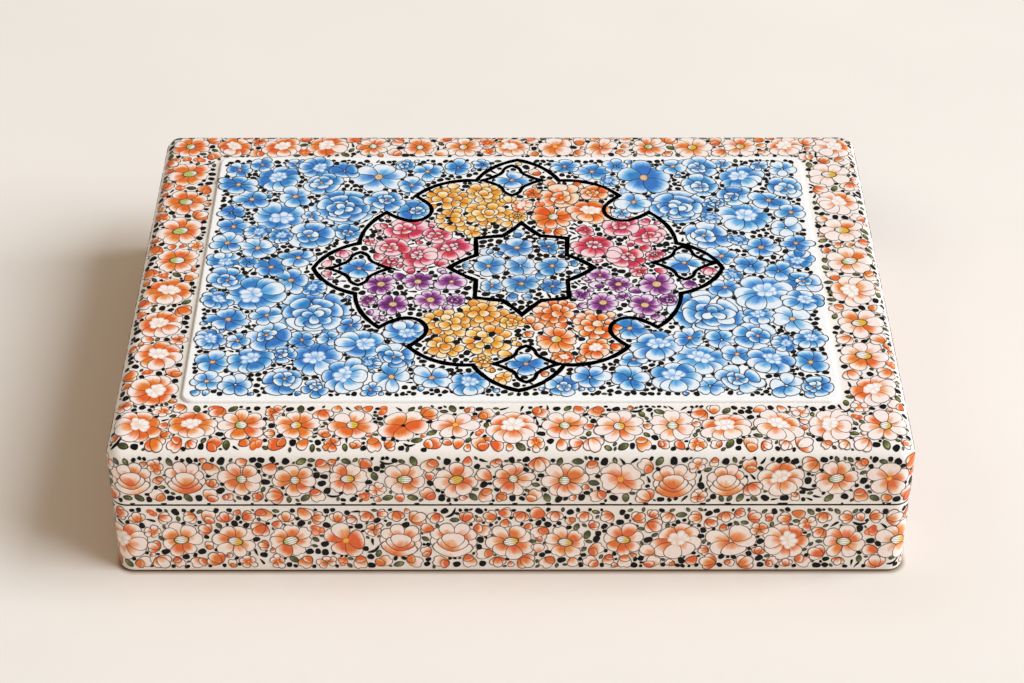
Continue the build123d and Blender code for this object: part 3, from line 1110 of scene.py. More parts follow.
@motif
def loose_petal(canvas, rng, x, y, radius, lift, paint):
    """A single petal, sometimes with a second tucked beneath it."""
    angle = rng.uniform(0, TAU)
    stretch = rng.uniform(1.05, 1.4)
    if rng.random() < 0.4:
        beside = polar(x, y, angle + 1.6, 0.5 * radius)
        canvas.spot("petal", *beside, 0.72 * radius, paint, lift, angle + 0.4, stretch, -0.1)
        lift += canvas.step
    canvas.spot("petal", x, y, radius / math.sqrt(stretch), paint, lift, angle, stretch, depth_of(paint))
    return lift


@motif
def leaf(canvas, rng, x, y, radius, lift):
    """An olive leaf."""
    canvas.spot("leaf", x, y, 0.68 * radius, "olive", lift, rng.uniform(0, TAU), 1.6)
    return lift


@motif
def ink_curl(canvas, rng, x, y, radius, lift):
    """A long bent stroke of ink."""
    angle = rng.uniform(-0.9, 0.9)
    canvas.spot("curl", x, y, 0.26 * radius, "ink", lift, angle, rng.uniform(3.6, 4.4))
    return lift


def ink_mark(canvas, x, y, radius):
    """A dab or a comma of ink. It isn't noted, so later motifs may lie level with it."""
    rng = canvas.rng
    radius = min(radius, canvas.largest_dab)
    lift = canvas.begin(x, y, radius)
    angle = rng.uniform(0, TAU)
    if rng.random() < 0.14 and radius > 1.1:
        canvas.spot("comma", x, y, 0.5 * radius, "ink", lift, angle, rng.uniform(2.0, 2.6))
    else:
        canvas.spot("dab", x, y, 0.9 * radius, "ink", lift, angle, rng.uniform(1.0, 1.3))


# ---- Free room, the circles that fill it, and outlines -----------------------------------
class Room:
    """Free room on a flat pattern: the distance from each grid cell to the nearest thing."""

    def __init__(self, low, high, period=None):
        self.x = np.arange(low[0], high[0] + grid_step / 2, grid_step)
        self.y = np.arange(low[1], high[1] + grid_step / 2, grid_step)
        self.grid_x, self.grid_y = np.meshgrid(self.x, self.y)
        self.free = np.full(self.grid_x.shape, open_room)
        self.period = period

    def limit(self, distance):
        """Keep only what is inside: distance is positive inside and falls to 0 at the edge."""
        self.free = np.minimum(self.free, distance)

    def keep_inside(self, outline, margin):
        """Keep only what is inside a closed outline, and this far from it."""
        self.limit(inside_distance(self.grid_x, self.grid_y, outline) - margin)

    def keep_outside(self, outline, margin):
        """Keep only what is outside a closed outline, and this far from it."""
        self.limit(-inside_distance(self.grid_x, self.grid_y, outline) - margin)

    def cell(self, x, y):
        """The row and column of the cell nearest a point."""
        return np.abs(self.y - y).argmin(), np.abs(self.x - x).argmin()

    def near(self, x, y, reach):
        """The grid cells within reach of a point, counted round the period if there is one."""
        start = math.floor((x - reach - self.x[0]) / grid_step)
        columns = np.arange(start, start + math.ceil(2 * reach / grid_step) + 2)
        if self.period:
            columns = np.unique(columns % len(self.x))
        else:
            columns = columns[(columns >= 0) & (columns < len(self.x))]
        low, high = np.searchsorted(self.y, (y - reach, y + reach))
        return np.ix_(np.arange(low, high), columns)

    def take(self, x, y, long, wide=None, angle=0.0):
        """Take the room of a circle, or of an ellipse of these half axes turned by angle."""
        wide = wide or long
        cells = self.near(x, y, long + widest_circle)
        dx = self.grid_x[cells] - x
        dy = self.grid_y[cells] - y
        if self.period:
            dx = (dx + self.period / 2) % self.period - self.period / 2
        cos, sin = math.cos(angle), math.sin(angle)
        stretched = np.hypot((dx * cos + dy * sin) / long, (dy * cos - dx * sin) / wide)
        self.free[cells] = np.minimum(self.free[cells], (stretched - 1) * min(long, wide))

    def take_strokes(self, canvas):
        """Take the room of every stroke laid so far, each as an ellipse a little smaller than it."""
        for rows in canvas.strokes.values():
            for x, y, angle, long, wide, *_ in rows:
                self.take(*polar(x, y, angle, 0.5 * long), 0.43 * long, 0.43 * wide, angle)

    def scatter(self, sizes, gap, rng):
        """Fill the free room with circles, largest first, each snug against its neighbours.

        Each size is a radius and the share of it that keeps clear of its neighbours. Of the cells
        drawn for a circle, the one with the least room is taken.
        """
        placed = []
        tries, shift = 10, 0.2  # cells drawn for each circle, and how far it then moves off its cell
        for radius, share in sizes:
            while True:
                open_cells = np.flatnonzero(self.free > share * radius + gap)
                if open_cells.size == 0:
                    break
                picks = open_cells[rng.integers(open_cells.size, size=tries)]
                cell = picks[self.free.ravel()[picks].argmin()]
                x = self.grid_x.ravel()[cell] + rng.uniform(-shift, shift)
                y = self.grid_y.ravel()[cell] + rng.uniform(-shift, shift)
                self.take(x, y, share * radius)
                placed.append((x, y, radius))
        return placed


def arc_between(start, end, bulge, steps):
    """Points from start up to but not including end on a circle's arc.

    bulge is the arc's height over its chord's length, positive to the right of the way.
    """
    start, end = np.array(start, float), np.array(end, float)
    t = np.linspace(0, 1, steps, endpoint=False)
    if abs(bulge) < 1e-6:
        return start + t[:, None] * (end - start)
    chord = end - start
    half_turn = 2 * math.atan(2 * bulge)
    right = np.array((chord[1], -chord[0]))
    centre = (start + end) / 2 - right / (2 * math.tan(half_turn))
    begin = start - centre
    sweep = 2 * half_turn * t
    cos, sin = np.cos(sweep), np.sin(sweep)
    return centre + np.column_stack((begin[0] * cos - begin[1] * sin, begin[0] * sin + begin[1] * cos))


def mirrored_outline(quarter, centre, step=0.8):
    """A closed outline from the points and bulges of its first quarter, from +X round to +Y."""
    points = [np.array(point, float) for point, _ in quarter]
    bulges = [bulge for _, bulge in quarter[:-1]]
    runs = []
    for flip in ((1, 1), (-1, 1), (-1, -1), (1, -1)):
        turned = [point * flip for point in points]
        pairs = list(zip(turned[:-1], turned[1:], bulges))
        if flip[0] * flip[1] < 0:
            pairs = [(end, start, bulge) for start, end, bulge in reversed(pairs)]
        for start, end, bulge in pairs:
            steps = max(2, round(math.dist(start, end) * (1 + 1.6 * abs(bulge)) / step))
            runs.append(arc_between(start, end, bulge, steps))
    return np.vstack(runs) + centre


# Quarter outlines, from +X round to +Y: each point in millimetres with the bulge of the arc
# that leaves it.
MEDALLION_QUARTER = (
    ((70.0, 0.0), 0.12), ((55.0, 14.8), 0.10), ((46.2, 33.8), -0.04), ((40.6, 29.6), -0.40),
    ((31.4, 38.6), -0.03), ((36.2, 44.2), 0.135), ((14.8, 54.1), 0.11), ((0.0, 67.6), 0.0),
)
STAR_QUARTER = (
    ((24.8, 0.0), 0.04), ((15.6, 7.4), 0.0), ((15.9, 17.4), 0.02), ((6.6, 19.0), -0.02), ((0.0, 27.0), 0.0),
)
QUATREFOIL_QUARTER = (((10.6, 0.0), -0.04), ((5.6, 3.0), -0.12), ((3.0, 6.9), 0.10), ((0.0, 9.6), 0.0))
QUATREFOIL_PLACES = ((-2.0, 54.3), (-54.3, -0.2), (57.0, 3.0), (2.5, -53.6))


def inside_distance(grid_x, grid_y, outline):
    """Distance to a closed outline, positive inside it. Inside is by even crossings."""
    shape = grid_x.shape
    px, py = grid_x.ravel(), grid_y.ravel()
    nearest = np.full(px.shape, np.inf)
    crossed = np.zeros(px.shape, bool)
    for (x0, y0), (x1, y1) in zip(outline, np.roll(outline, -1, axis=0)):
        nearest = np.minimum(nearest, (px - x0) ** 2 + (py - y0) ** 2)
        spans = (y0 > py) != (y1 > py)
        if y1 != y0:
            crossed ^= spans & (px < x0 + (x1 - x0) * (py - y0) / (y1 - y0))
    distance = np.sqrt(nearest)
    return np.where(crossed, distance, -distance).reshape(shape)


def past_corner(dx, dy):
    """Distance to a rectangle from how far a point is past its sides, negative inside it."""
    return np.hypot(np.maximum(dx, 0), np.maximum(dy, 0)) + np.minimum(np.maximum(dx, dy), 0)


def box_distance(room, low, high, radius):
    """Distance of a room's cells to a rounded rectangle, positive inside it."""
    centre = (low + high) / 2
    half = (high - low) / 2 - radius
    dx = np.abs(room.grid_x - centre[0]) - half[0]
    dy = np.abs(room.grid_y - centre[1]) - half[1]
    return radius - past_corner(dx, dy)


# ---- Paintings ---------------------------------------------------------------------------
# Large blue flowers of the field's left half, mirrored to the right: kind, x, y, radius.
FIELD_FLOWERS = (
    ("peony", -66.0, -22.0, 12.6), ("peony", -58.5, 41.0, 11.4), ("cupped", -86.0, -11.0, 10.2),
    ("cupped", -81.5, 35.5, 9.6), ("blossom", -47.5, 60.5, 10.2), ("double", -69.0, 23.5, 8.6),
    ("blossom", -87.5, 16.0, 6.8), ("blossom", -73.0, 10.0, 6.4), ("blossom", -92.0, 46.0, 6.6),
    ("cupped", -83.5, 59.5, 8.2), ("double", -67.0, 56.0, 7.2), ("blossom", -94.0, -25.5, 7.4),
    ("double", -79.5, -34.5, 7.8), ("blossom", -97.0, -48.5, 6.4), ("cupped", -84.5, -47.5, 7.6),
    ("cupped", -63.0, -46.5, 8.8), ("cupped", -49.0, -39.0, 8.4), ("double", -73.5, -58.5, 7.2),
    ("cupped", -53.5, -56.0, 8.4), ("blossom", -38.5, -56.5, 7.2), ("blossom", -25.5, -57.0, 6.6),
    ("blossom", -82.0, 4.5, 6.0), ("cupped", -98.5, 8.5, 5.8), ("blossom", -30.0, 64.0, 6.2),
    ("blossom", -19.0, 66.5, 5.4), ("cupped", -99.0, -36.5, 5.6), ("blossom", -97.0, 29.0, 6.0),
    ("blossom", -88.5, -60.5, 6.2), ("blossom", -98.0, 65.0, 5.4),
)
# How large the small flowers of each painting are, and the share of each that stays clear.
FIELD_SIZES = ((6.8, 0.74), (5.8, 0.76), (4.8, 0.78), (3.8, 0.84))
FIELD_SMALL_SIZES = ((2.9, 0.92), (2.2, 1.0))
MEDALLION_SIZES = ((4.4, 0.8), (3.6, 0.82), (2.8, 0.86), (2.1, 0.92))
STAR_SIZES = ((2.8, 0.86), (2.1, 0.94))
EDGE_SIZES = ((3.1, 0.9), (2.5, 0.95), (2.0, 1.0))
FOIL_SIZES = ((1.1, 1.0), (0.8, 1.0), (0.6, 1.0))
GAP_SIZES = (
    (1.75, 1.0), (1.5, 1.0), (1.3, 0.97), (1.12, 0.95), (0.96, 0.95), (0.82, 0.95), (0.7, 0.95), (0.58, 1.0),
)
THROATS = {"vermilion": "blush", "tangerine": "blush", "lapis": "frost", "sky": "frost"}
PLAIN_FLOWERS = {"peony": peony, "double": double_blossom, "rose": profile_rose, "posy": posy}
# Small motifs, each with the chance that it or one before it is painted.
MIDDLING_MOTIFS = ((0.2, blossom), (0.55, bud), (1.0, folded_petal))
LITTLE_MOTIFS = ((0.25, bud), (0.38, blot), (0.6, folded_petal), (1.0, loose_petal))


def paint_flower(canvas, kind, x, y, radius, paint):
    """Paint a flower of the named kind."""
    rng = canvas.rng
    if kind == "cupped":
        way = math.pi / 2 + rng.normal(0, 0.5 if paint == "vermilion" else 1.2)
        cupped_blossom(canvas, x, y, radius, paint, THROATS.get(paint, paint), way)
    elif kind == "blossom":
        blossom(canvas, x, y, radius, paint, int(rng.choice((5, 5, 6))))
    elif kind == "daisy":
        daisy(canvas, x, y, radius, paint, int(rng.choice((7, 8, 8))))
    elif kind == "oval":
        daisy(canvas, x, y, radius, paint, 7, 1.45)
    else:
        PLAIN_FLOWERS[kind](canvas, x, y, radius, paint)


def first_past(value, choices):
    """The choice of the first (end, choice) pair whose end is past the value."""
    return next(choice for end, choice in choices if value < end)


def paint_small(canvas, x, y, radius, paint):
    """Paint a small flower, bud, petal or blot, or now and then a curl of ink."""
    chance = canvas.rng.random()
    if radius >= 3.4:
        kind = "blossom" if chance < 0.5 else canvas.rng.choice(("double", "cupped"))
        paint_flower(canvas, kind, x, y, 1.06 * radius, paint)
    elif radius >= 2.6:
        first_past(chance, MIDDLING_MOTIFS)(canvas, x, y, 1.04 * radius, paint)
    elif chance > 0.92 and paint == "vermilion":
        ink_curl(canvas, x, y, radius)
    else:
        first_past(chance, LITTLE_MOTIFS)(canvas, x, y, 1.04 * radius, paint)


def sprinkle_ink(canvas, room, count):
    """Drop round ink dabs at random on open ground before the small flowers crowd in."""
    rng = canvas.rng
    for radius in canvas.largest_dab * rng.uniform(0.8, 1.0, count):
        open_cells = np.flatnonzero(room.free > radius + 0.1)
        if open_cells.size == 0:
            break
        cell = open_cells[rng.integers(open_cells.size)]
        x, y = room.grid_x.ravel()[cell], room.grid_y.ravel()[cell]
        room.take(x, y, radius)
        ink_mark(canvas, x, y, radius)


def scatter_flowers(canvas, room, sizes, gap, paint_of):
    """Fill a room with small flowers."""
    for x, y, radius in room.scatter(sizes, gap, canvas.rng):
        paint_small(canvas, x, y, radius, paint_of(x, y))


def paint_gaps(canvas, room, ground, paint_of, ink_share, leaf_share):
    """Fill the ground left between all strokes with ink dabs, leaves and loose petals.

    ground is the room as it was before anything was painted in it.
    """
    room.free = ground
    room.take_strokes(canvas)
    rng = canvas.rng
    for x, y, radius in room.scatter(GAP_SIZES, 0.14, rng):
        chance = rng.random()
        if chance < ink_share:
            ink_mark(canvas, x, y, radius)
        elif chance < ink_share + leaf_share:
            leaf(canvas, x, y, radius)
        elif radius > 1.0:
            loose_petal(canvas, x, y, radius, paint_of(x, y))


def picture_map(low, high):
    """The flat picture's UV map: the pattern's own rectangle on the whole image."""
    low, high = np.array(low, float), np.array(high, float)
    return lambda points: (points - low) / (high - low)


def build_halves(canvas, name, low, high, middle):
    """Make one piece for each half of a flat painting, each with a UV map of its own rectangle."""
    overlap = 10.0  # how far a stroke may run past the middle
    left = picture_map(low, (middle + overlap, high[1]))
    right = picture_map((middle - overlap, low[1]), high)
    canvas.build(f"{name}_left", "lid", left, lambda x: x < middle)
    canvas.build(f"{name}_right", "lid", right, lambda x: x >= middle)


def only(paint):
    """A rule that gives every place the same paint."""
    return lambda x, y: paint


class BOX_OT_paint_field(bpy.types.Operator):
    """Paint the blue flowers of the raised field round the medallion"""

    bl_idname = "painted_box.paint_field"
    bl_label = "Paint blue field"

    def execute(self, context):
        margin = 1.9  # between the flowers and the field's edge
        low = field_low[:2] + margin
        high = field_high[:2] - margin
        sizes = context.scene.painted_box_sizes
        # fade paints a faint sheen, paler towards the right
        canvas = Canvas(field_surface, sizes, 0, flat_step, largest_dab=1.2, fade=0.05)
        room = Room(low, high)
        room.limit(box_distance(room, low, high, radius=2.0))
        room.keep_outside(mirrored_outline(MEDALLION_QUARTER, medallion_centre), margin=0.9)
        ground = room.free.copy()
        lapis = only("lapis")
        for side in (1, -1):
            shift = float(side < 0)  # the mirrored flowers are moved a little
            for kind, x, y, radius in FIELD_FLOWERS:
                x = x * side + canvas.rng.uniform(-1, 1) * shift
                y = y + canvas.rng.uniform(-1, 1) * shift
                room.take(x, y, 0.84 * radius)
                paint_flower(canvas, kind, x, y, 1.07 * radius, "lapis")
        scatter_flowers(canvas, room, FIELD_SIZES, 0.14, lapis)
        sprinkle_ink(canvas, room, 300)
        scatter_flowers(canvas, room, FIELD_SMALL_SIZES, 0.14, lapis)
        paint_gaps(canvas, room, ground, lapis, ink_share=0.7, leaf_share=0.04)
        build_halves(canvas, "painted_field", field_low[:2], field_high[:2], medallion_centre[0])
        return {"FINISHED"}


# Larger flowers of the medallion, from its centre: kind, paint, x, y, radius.
MEDALLION_FLOWERS = (
    ("double", "madder", -38.5, 23.5, 8.2), ("cupped", "madder", -23.5, 11.5, 7.8),
    ("double", "madder", -43.5, 12.5, 6.6), ("cupped", "madder", -34.0, 7.0, 7.2),
    ("double", "madder", -28.0, 19.5, 5.6), ("cupped", "madder", 26.0, 13.0, 7.8),
    ("double", "madder", 45.5, 19.5, 7.2), ("cupped", "madder", 37.0, 6.5, 7.6),
    ("double", "madder", 36.5, 25.0, 7.0), ("daisy", "violet", -46.5, -9.5, 6.6),
    ("daisy", "violet", -34.0, -8.0, 6.0), ("blossom", "violet", -22.5, -8.0, 6.2),
    ("daisy", "violet", -42.0, -21.0, 6.4), ("daisy", "violet", -29.5, -18.5, 6.6),
    ("daisy", "violet", 47.0, -9.5, 7.4), ("daisy", "violet", 34.0, -9.5, 5.4),
    ("daisy", "violet", 42.5, -21.5, 6.6), ("daisy", "violet", 28.5, -20.0, 6.4),
    ("posy", "gold", -25.0, 41.5, 8.6), ("posy", "gold", -10.0, 33.5, 8.8),
    ("posy", "gold", -22.0, 29.0, 7.4), ("posy", "gold", -12.0, 46.0, 6.6),
    ("daisy", "tangerine", 12.5, 31.0, 8.4), ("cupped", "tangerine", 25.5, 34.0, 8.2),
    ("double", "tangerine", 15.0, 44.0, 8.0), ("double", "tangerine", 27.5, 46.0, 5.6),
    ("posy", "gold", -11.5, -26.0, 8.4), ("posy", "gold", -24.5, -32.5, 8.8),
    ("posy", "gold", -10.0, -41.0, 8.4), ("posy", "gold", -24.0, -44.5, 6.2),
    ("posy", "tangerine", 13.0, -26.5, 8.4), ("posy", "tangerine", 26.5, -32.0, 8.6),
    ("daisy", "tangerine", 12.5, -40.5, 8.2), ("cupped", "tangerine", 25.0, -45.5, 6.0),
)
# Blossoms of the star, from its centre: x, y, radius.
STAR_FLOWERS = (
    (-1.6, 11.8, 6.2), (-11.4, 0.9, 6.0), (-0.4, 0.9, 6.0),
    (10.4, 0.9, 5.8), (-0.2, -9.6, 6.2), (10.4, -11.0, 4.6),
    (-10.2, -10.6, 4.4), (9.4, 12.4, 4.2),
)
# The gouache of each part of the medallion, by the bearing in degrees at which the part ends.
MEDALLION_ZONES = (
    (47, "madder"), (88, "tangerine"), (133, "gold"), (183, "madder"),
    (226, "violet"), (271, "gold"), (312, "tangerine"), (357, "violet"), (361, "madder"),
)


def medallion_paint(x, y):
    """The gouache of a place in the medallion, by its bearing from the centre."""
    dx, dy = (x, y) - medallion_centre
    return first_past(math.degrees(math.atan2(dy, dx)) % 360, MEDALLION_ZONES)


def paint_quatrefoil(canvas, room, centre, width, lift):
    """Paint one quatrefoil: its line, its flower, and leaves and ink in its corners."""
    foil = mirrored_outline(QUATREFOIL_QUARTER, centre, 0.6)
    canvas.line(foil, width, lift)
    room.keep_outside(foil, 0.6)
    axial_blossom(canvas, *centre, 6.9, "lapis")
    reach = np.array((10.0, 9.0))
    corners = Room(centre - reach, centre + reach)
    corners.keep_inside(foil, 0.7)
    corners.take(*centre, 5.4)
    for place in corners.scatter(FOIL_SIZES, 0.15, canvas.rng):
        mark = leaf if canvas.rng.random() < 0.3 else ink_mark
        mark(canvas, *place)


class BOX_OT_paint_medallion(bpy.types.Operator):
    """Paint the lobed medallion, its star and its four quatrefoils"""

    bl_idname = "painted_box.paint_medallion"
    bl_label = "Paint medallion"

    def execute(self, context):
        sizes = context.scene.painted_box_sizes
        band = sizes.band / MM
        lift = 0.17  # of the black lines
        canvas = Canvas(field_surface, sizes, 1, flat_step, largest_dab=1.45)
        outline = mirrored_outline(MEDALLION_QUARTER, medallion_centre)
        star = mirrored_outline(STAR_QUARTER, star_centre)
        room = Room(outline.min(0), outline.max(0))
        room.keep_inside(outline, 0.75)
        room.keep_outside(star, 0.75)
        canvas.line(outline, band, lift)
        canvas.line(star, band * 1.05, lift)
        for place in QUATREFOIL_PLACES:
            paint_quatrefoil(canvas, room, medallion_centre + place, 0.84 * band, lift)
        ground = room.free.copy()
        for kind, paint, dx, dy, radius in MEDALLION_FLOWERS:
            x, y = medallion_centre + (dx, dy)
            room.take(x, y, 0.82 * radius)
            paint_flower(canvas, kind, x, y, radius, paint)
        sprinkle_ink(canvas, room, 45)
        scatter_flowers(canvas, room, MEDALLION_SIZES, 0.12, medallion_paint)
        paint_gaps(canvas, room, ground, medallion_paint, ink_share=0.8, leaf_share=0.04)
        room = Room(star.min(0), star.max(0))
        room.keep_inside(star, 0.7)
        ground = room.free.copy()
        for dx, dy, radius in STAR_FLOWERS:
            x, y = star_centre + (dx, dy)
            room.take(x, y, 0.86 * radius)
            paint_flower(canvas, "blossom", x, y, 1.1 * radius, "sky")
        sprinkle_ink(canvas, room, 12)
        scatter_flowers(canvas, room, STAR_SIZES, 0.2, only("sky"))
        paint_gaps(canvas, room, ground, only("sky"), ink_share=0.9, leaf_share=0.02)
        canvas.build("painted_medallion", "lid", picture_map(outline.min(0) - band, outline.max(0) + band))
        return {"FINISHED"}


# Flower kinds in the order they follow each other: along the border from its left end, and
# round the upright sides from the middle of the front.
BORDER_KINDS = (
    "cupped", "cupped", "daisy", "daisy", "daisy", "blossom", "blossom", "cupped",
    "daisy", "daisy", "daisy", "cupped", "cupped", "cupped", "daisy",
)
LID_SIDE_KINDS = (
    "rose", "rose", "rose", "daisy", "daisy", "oval", "oval", "oval",
    "daisy", "daisy", "blossom", "rose", "rose", "cupped", "oval", "blossom", "rose",
)
BASE_SIDE_KINDS = (
    "oval", "oval", "oval", "cupped", "blossom", "cupped", "oval", "oval", "oval", "blossom", "rose", "rose",
)


def border_rows(rng):
    """Places of the border's large flowers: two long rows and two short columns."""
    found = []
    row_end, front_y, back_y = 118.0, -80.0, 82.2
    for k, kind in enumerate(BORDER_KINDS):
        x = -row_end + 2 * row_end * k / (len(BORDER_KINDS) - 1)
        found.append((x, front_y, 8.3, kind))
        found.append((x, back_y, 7.4, BORDER_KINDS[-1 - k]))
    column_start, column_length, left_x, right_x = -62.0, 126.0, -115.6, 115.9
    rows = 8
    for k in range(rows):
        y = column_start + column_length * k / (rows - 1)
        found.append((left_x, y, 8.6, "cupped" if k < 4 else "oval"))
        found.append((right_x, y, 8.6, "cupped" if k % 3 == 0 else "oval"))
    return [
        (x + rng.uniform(-0.8, 0.8), y + rng.uniform(-0.5, 0.5), r * rng.uniform(0.92, 1.05), kind)
        for x, y, r, kind in found
    ]


class BOX_OT_paint_border(bpy.types.Operator):
    """Paint the orange flowers of the lid's border and rounded edge"""

    bl_idname = "painted_box.paint_border"
    bl_label = "Paint lid border"

    def execute(self, context):
        sizes = context.scene.painted_box_sizes
        # fade paints a sheen, paler towards the right
        canvas = Canvas(border_surface, sizes, 2, round_step, largest_dab=1.25, fade=0.15)
        reach = 4.4  # how far the pattern runs out, unrolled, past the start of the rounding
        edge = np.array([half_width, half_depth]) - top_edge_radius + reach
        margin = 0.9  # round the raised field
        room = Room(-edge, edge)
        room.limit(box_distance(room, -edge, edge, radius=4.0))
        room.limit(-box_distance(room, field_low[:2] - margin, field_high[:2] + margin, radius=4.5))
        ground = room.free.copy()
        for x, y, radius, kind in border_rows(canvas.rng):
            room.take(x, y, 0.86 * radius)
            paint_flower(canvas, kind, x, y, radius, "vermilion")
        sprinkle_ink(canvas, room, 20)
        scatter_flowers(canvas, room, EDGE_SIZES, 0.2, only("vermilion"))
        paint_gaps(canvas, room, ground, only("vermilion"), ink_share=0.42, leaf_share=0.36)
        build_halves(canvas, "painted_border", -edge - 1, edge + 1, 0.0)
        return {"FINISHED"}


def side_edges():
    """Where one side of the box ends and the next begins, at the middle of each corner."""
    a = half_width - corner_radius
    b = half_depth - corner_radius
    bend = math.pi * corner_radius / 2
    return a + bend / 2, a + bend / 2 + 2 * b + bend


def back_clearance(along, z):
    """Distance on the upright sides from the hinges and from the bevelled rims at the back."""
    bend = corner_radius * math.acos(1 - bevel_depth / corner_radius)
    bevel = (0.0, half_width - corner_radius + bend, bevel_depth * bevel_slope)
    hinges = [(x, hinge_half_length, hinge_reach) for x in hinge_places]
    margin = 0.9
    clear = np.full(along.shape, open_room)
    for middle, half_length, half_height in (bevel, *hinges):
        dx = np.abs((along + middle) % perimeter - perimeter / 2) - half_length - margin
        dz = np.abs(z - seam_z) - half_height - margin
        clear = np.minimum(clear, past_corner(dx, dz))
    return clear


def paint_sides(canvas, low_z, high_z, row_z, radius, count, kinds, bud_z=None):
    """Paint one band round the upright sides: a row of large flowers, then all that fits.

    With bud_z, a row of buds goes in at that height before the smaller flowers.
    """
    rng = canvas.rng
    room = Room((-perimeter / 2, low_z), (perimeter / 2 - grid_step, high_z), perimeter)
    room.limit(np.minimum(room.grid_y - low_z, high_z - room.grid_y))
    back = back_clearance(room.grid_x, room.grid_y)
    room.limit(back)
    ground = room.free.copy()
    petal_reach = 1.12  # how far a flower's petals go, over its radius
    for k in range(count):
        x = (k - count // 2) * perimeter / count + rng.uniform(-0.8, 0.8)
        y = row_z + rng.uniform(-0.7, 0.7)
        size = min(radius * rng.uniform(0.9, 1.06), back[room.cell(x, y)] / petal_reach)
        if size >= 0.5 * radius:
            room.take(x, y, 0.86 * size)
            paint_flower(canvas, kinds[k % len(kinds)], x, y, size, "vermilion")
    apart = 9.5  # the distance from bud to bud
    for k in range(round(perimeter / apart) if bud_z else 0):
        x = -perimeter / 2 + k * apart + rng.uniform(-2, 2)
        y = bud_z + rng.uniform(-0.6, 0.6)
        if room.free[room.cell(x, y)] > 2.2:
            room.take(x, y, 2.5)
            bud(canvas, x, y, 2.6, "vermilion")
    sprinkle_ink(canvas, room, 40)
    scatter_flowers(canvas, room, EDGE_SIZES, 0.2, only("vermilion"))
    paint_gaps(canvas, room, ground, only("vermilion"), ink_share=0.5, leaf_share=0.36)


def paint_seam(canvas, z):
    """Short dabs of ink here and there along the seam, none at the back."""
    rng = canvas.rng
    bare = 140.0  # to each side of the middle of the back
    apart = 11.0
    end = perimeter / 2 - bare
    for x in np.arange(-end, end, apart):
        place = x + rng.uniform(-5, 5)
        canvas.spot("dab", place, z, 0.3, "ink", canvas.thickness, 0.0, rng.uniform(1.5, 4.0))


def folded_map(start, length, low_z, high_z):
    """The UV map of one side: its long strip cut in three and stacked to fill the square image."""
    rows = 3
    cell = length / rows
    beside, above = 8.0, 1.0  # how far strokes may run past a strip's ends and edges
    before = 20.0  # a point this far before the start isn't counted round the whole box

    def place(points):
        along = (points[:, 0] - start + before) % perimeter - before
        row = np.clip(np.floor(along / cell), 0, rows - 1)
        across = (along - row * cell + beside) / (cell + 2 * beside)
        up = (points[:, 1] - low_z + above) / (high_z - low_z + 2 * above)
        return np.column_stack((across, (row + np.clip(up, 0, 1)) / rows))

    return place


def build_sides(canvas, body, low_z, high_z):
    """Make one piece for each side of the box from a painted band."""
    front_end, side_end = side_edges()
    turns = {
        "front": (-front_end, front_end),
        "right": (front_end, side_end),
        "left": (-side_end, -front_end),
        "back": (side_end, perimeter - side_end),
    }
    for side, (start, end) in turns.items():
        length = end - start
        spread = folded_map(start, length, low_z, high_z)
        canvas.build(f"painted_{body}_{side}", body, spread, lambda x: (x - start) % perimeter < length)


class BOX_OT_paint_lid_sides(bpy.types.Operator):
    """Paint the upright sides of the lid"""

    bl_idname = "painted_box.paint_lid_sides"
    bl_label = "Paint lid sides"

    def execute(self, context):
        sizes = context.scene.painted_box_sizes
        canvas = Canvas(skirt_surface, sizes, 3, round_step, largest_dab=1.35)
        low_z, high_z = seam_z + 1.0, lid_top_z - top_edge_radius + 2.4
        paint_sides(canvas, low_z, high_z, row_z=39.0, radius=7.7, count=51, kinds=LID_SIDE_KINDS)
        paint_seam(canvas, low_z - 0.35)
        build_sides(canvas, "lid", low_z, high_z)
        return {"FINISHED"}


class BOX_OT_paint_base_sides(bpy.types.Operator):
    """Paint the upright sides of the base"""

    bl_idname = "painted_box.paint_base_sides"
    bl_label = "Paint base sides"

    def execute(self, context):
        sizes = context.scene.painted_box_sizes
        canvas = Canvas(skirt_surface, sizes, 4, round_step, largest_dab=1.35)
        low_z, high_z = 1.4, seam_z - 1.0
        paint_sides(
            canvas, low_z, high_z, row_z=13.4, radius=8.2, count=49, kinds=BASE_SIDE_KINDS, bud_z=23.4
        )
        build_sides(canvas, "base", low_z, high_z)
        return {"FINISHED"}


# ---- Finishes of the frame's own nodes ---------------------------------------------------
def finish_nodes(material, *names):
    """Give frame nodes one material."""
    for name in names:
        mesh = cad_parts[name].data
        mesh.materials.clear()
        mesh.materials.append(material)


class BOX_OT_finish_shells(bpy.types.Operator):
    """Lay the ivory ground on the shells and the raised field, and lacquer their insides"""

    bl_idname = "painted_box.finish_shells"
    bl_label = "Finish shells"

    def execute(self, context):
        colours = context.scene.painted_box_colours
        ground, inside = tuple(colours.ground), tuple(colours.interior)
        half_wall = wall_thickness / 2
        base = shell_finish("base_gesso_and_lacquer", ground, inside, seam_z + 1, half_wall)
        lid = shell_finish("lid_gesso_and_lacquer", ground, inside, seam_z - 1, lid_top_z - half_wall)
        finish_nodes(base, "base_shell")
        finish_nodes(lid, "lid_shell")
        finish_nodes(gesso_ground("field_gesso", tuple(colours.field_ground)), "lid_field_panel")
        collar = [f"collar_{side}" for side in ("front", "back", "left", "right")]
        finish_nodes(black_lacquer("collar_black_lacquer", inside), *collar)
        return {"FINISHED"}


class BOX_OT_finish_linings(bpy.types.Operator):
    """Give both linings their velvet"""

    bl_idname = "painted_box.finish_linings"
    bl_label = "Finish linings"

    def execute(self, context):
        velvet = cotton_velvet("red_cotton_velvet", tuple(context.scene.painted_box_colours.velvet))
        finish_nodes(velvet, "base_floor_lining", "lid_lining")
        return {"FINISHED"}


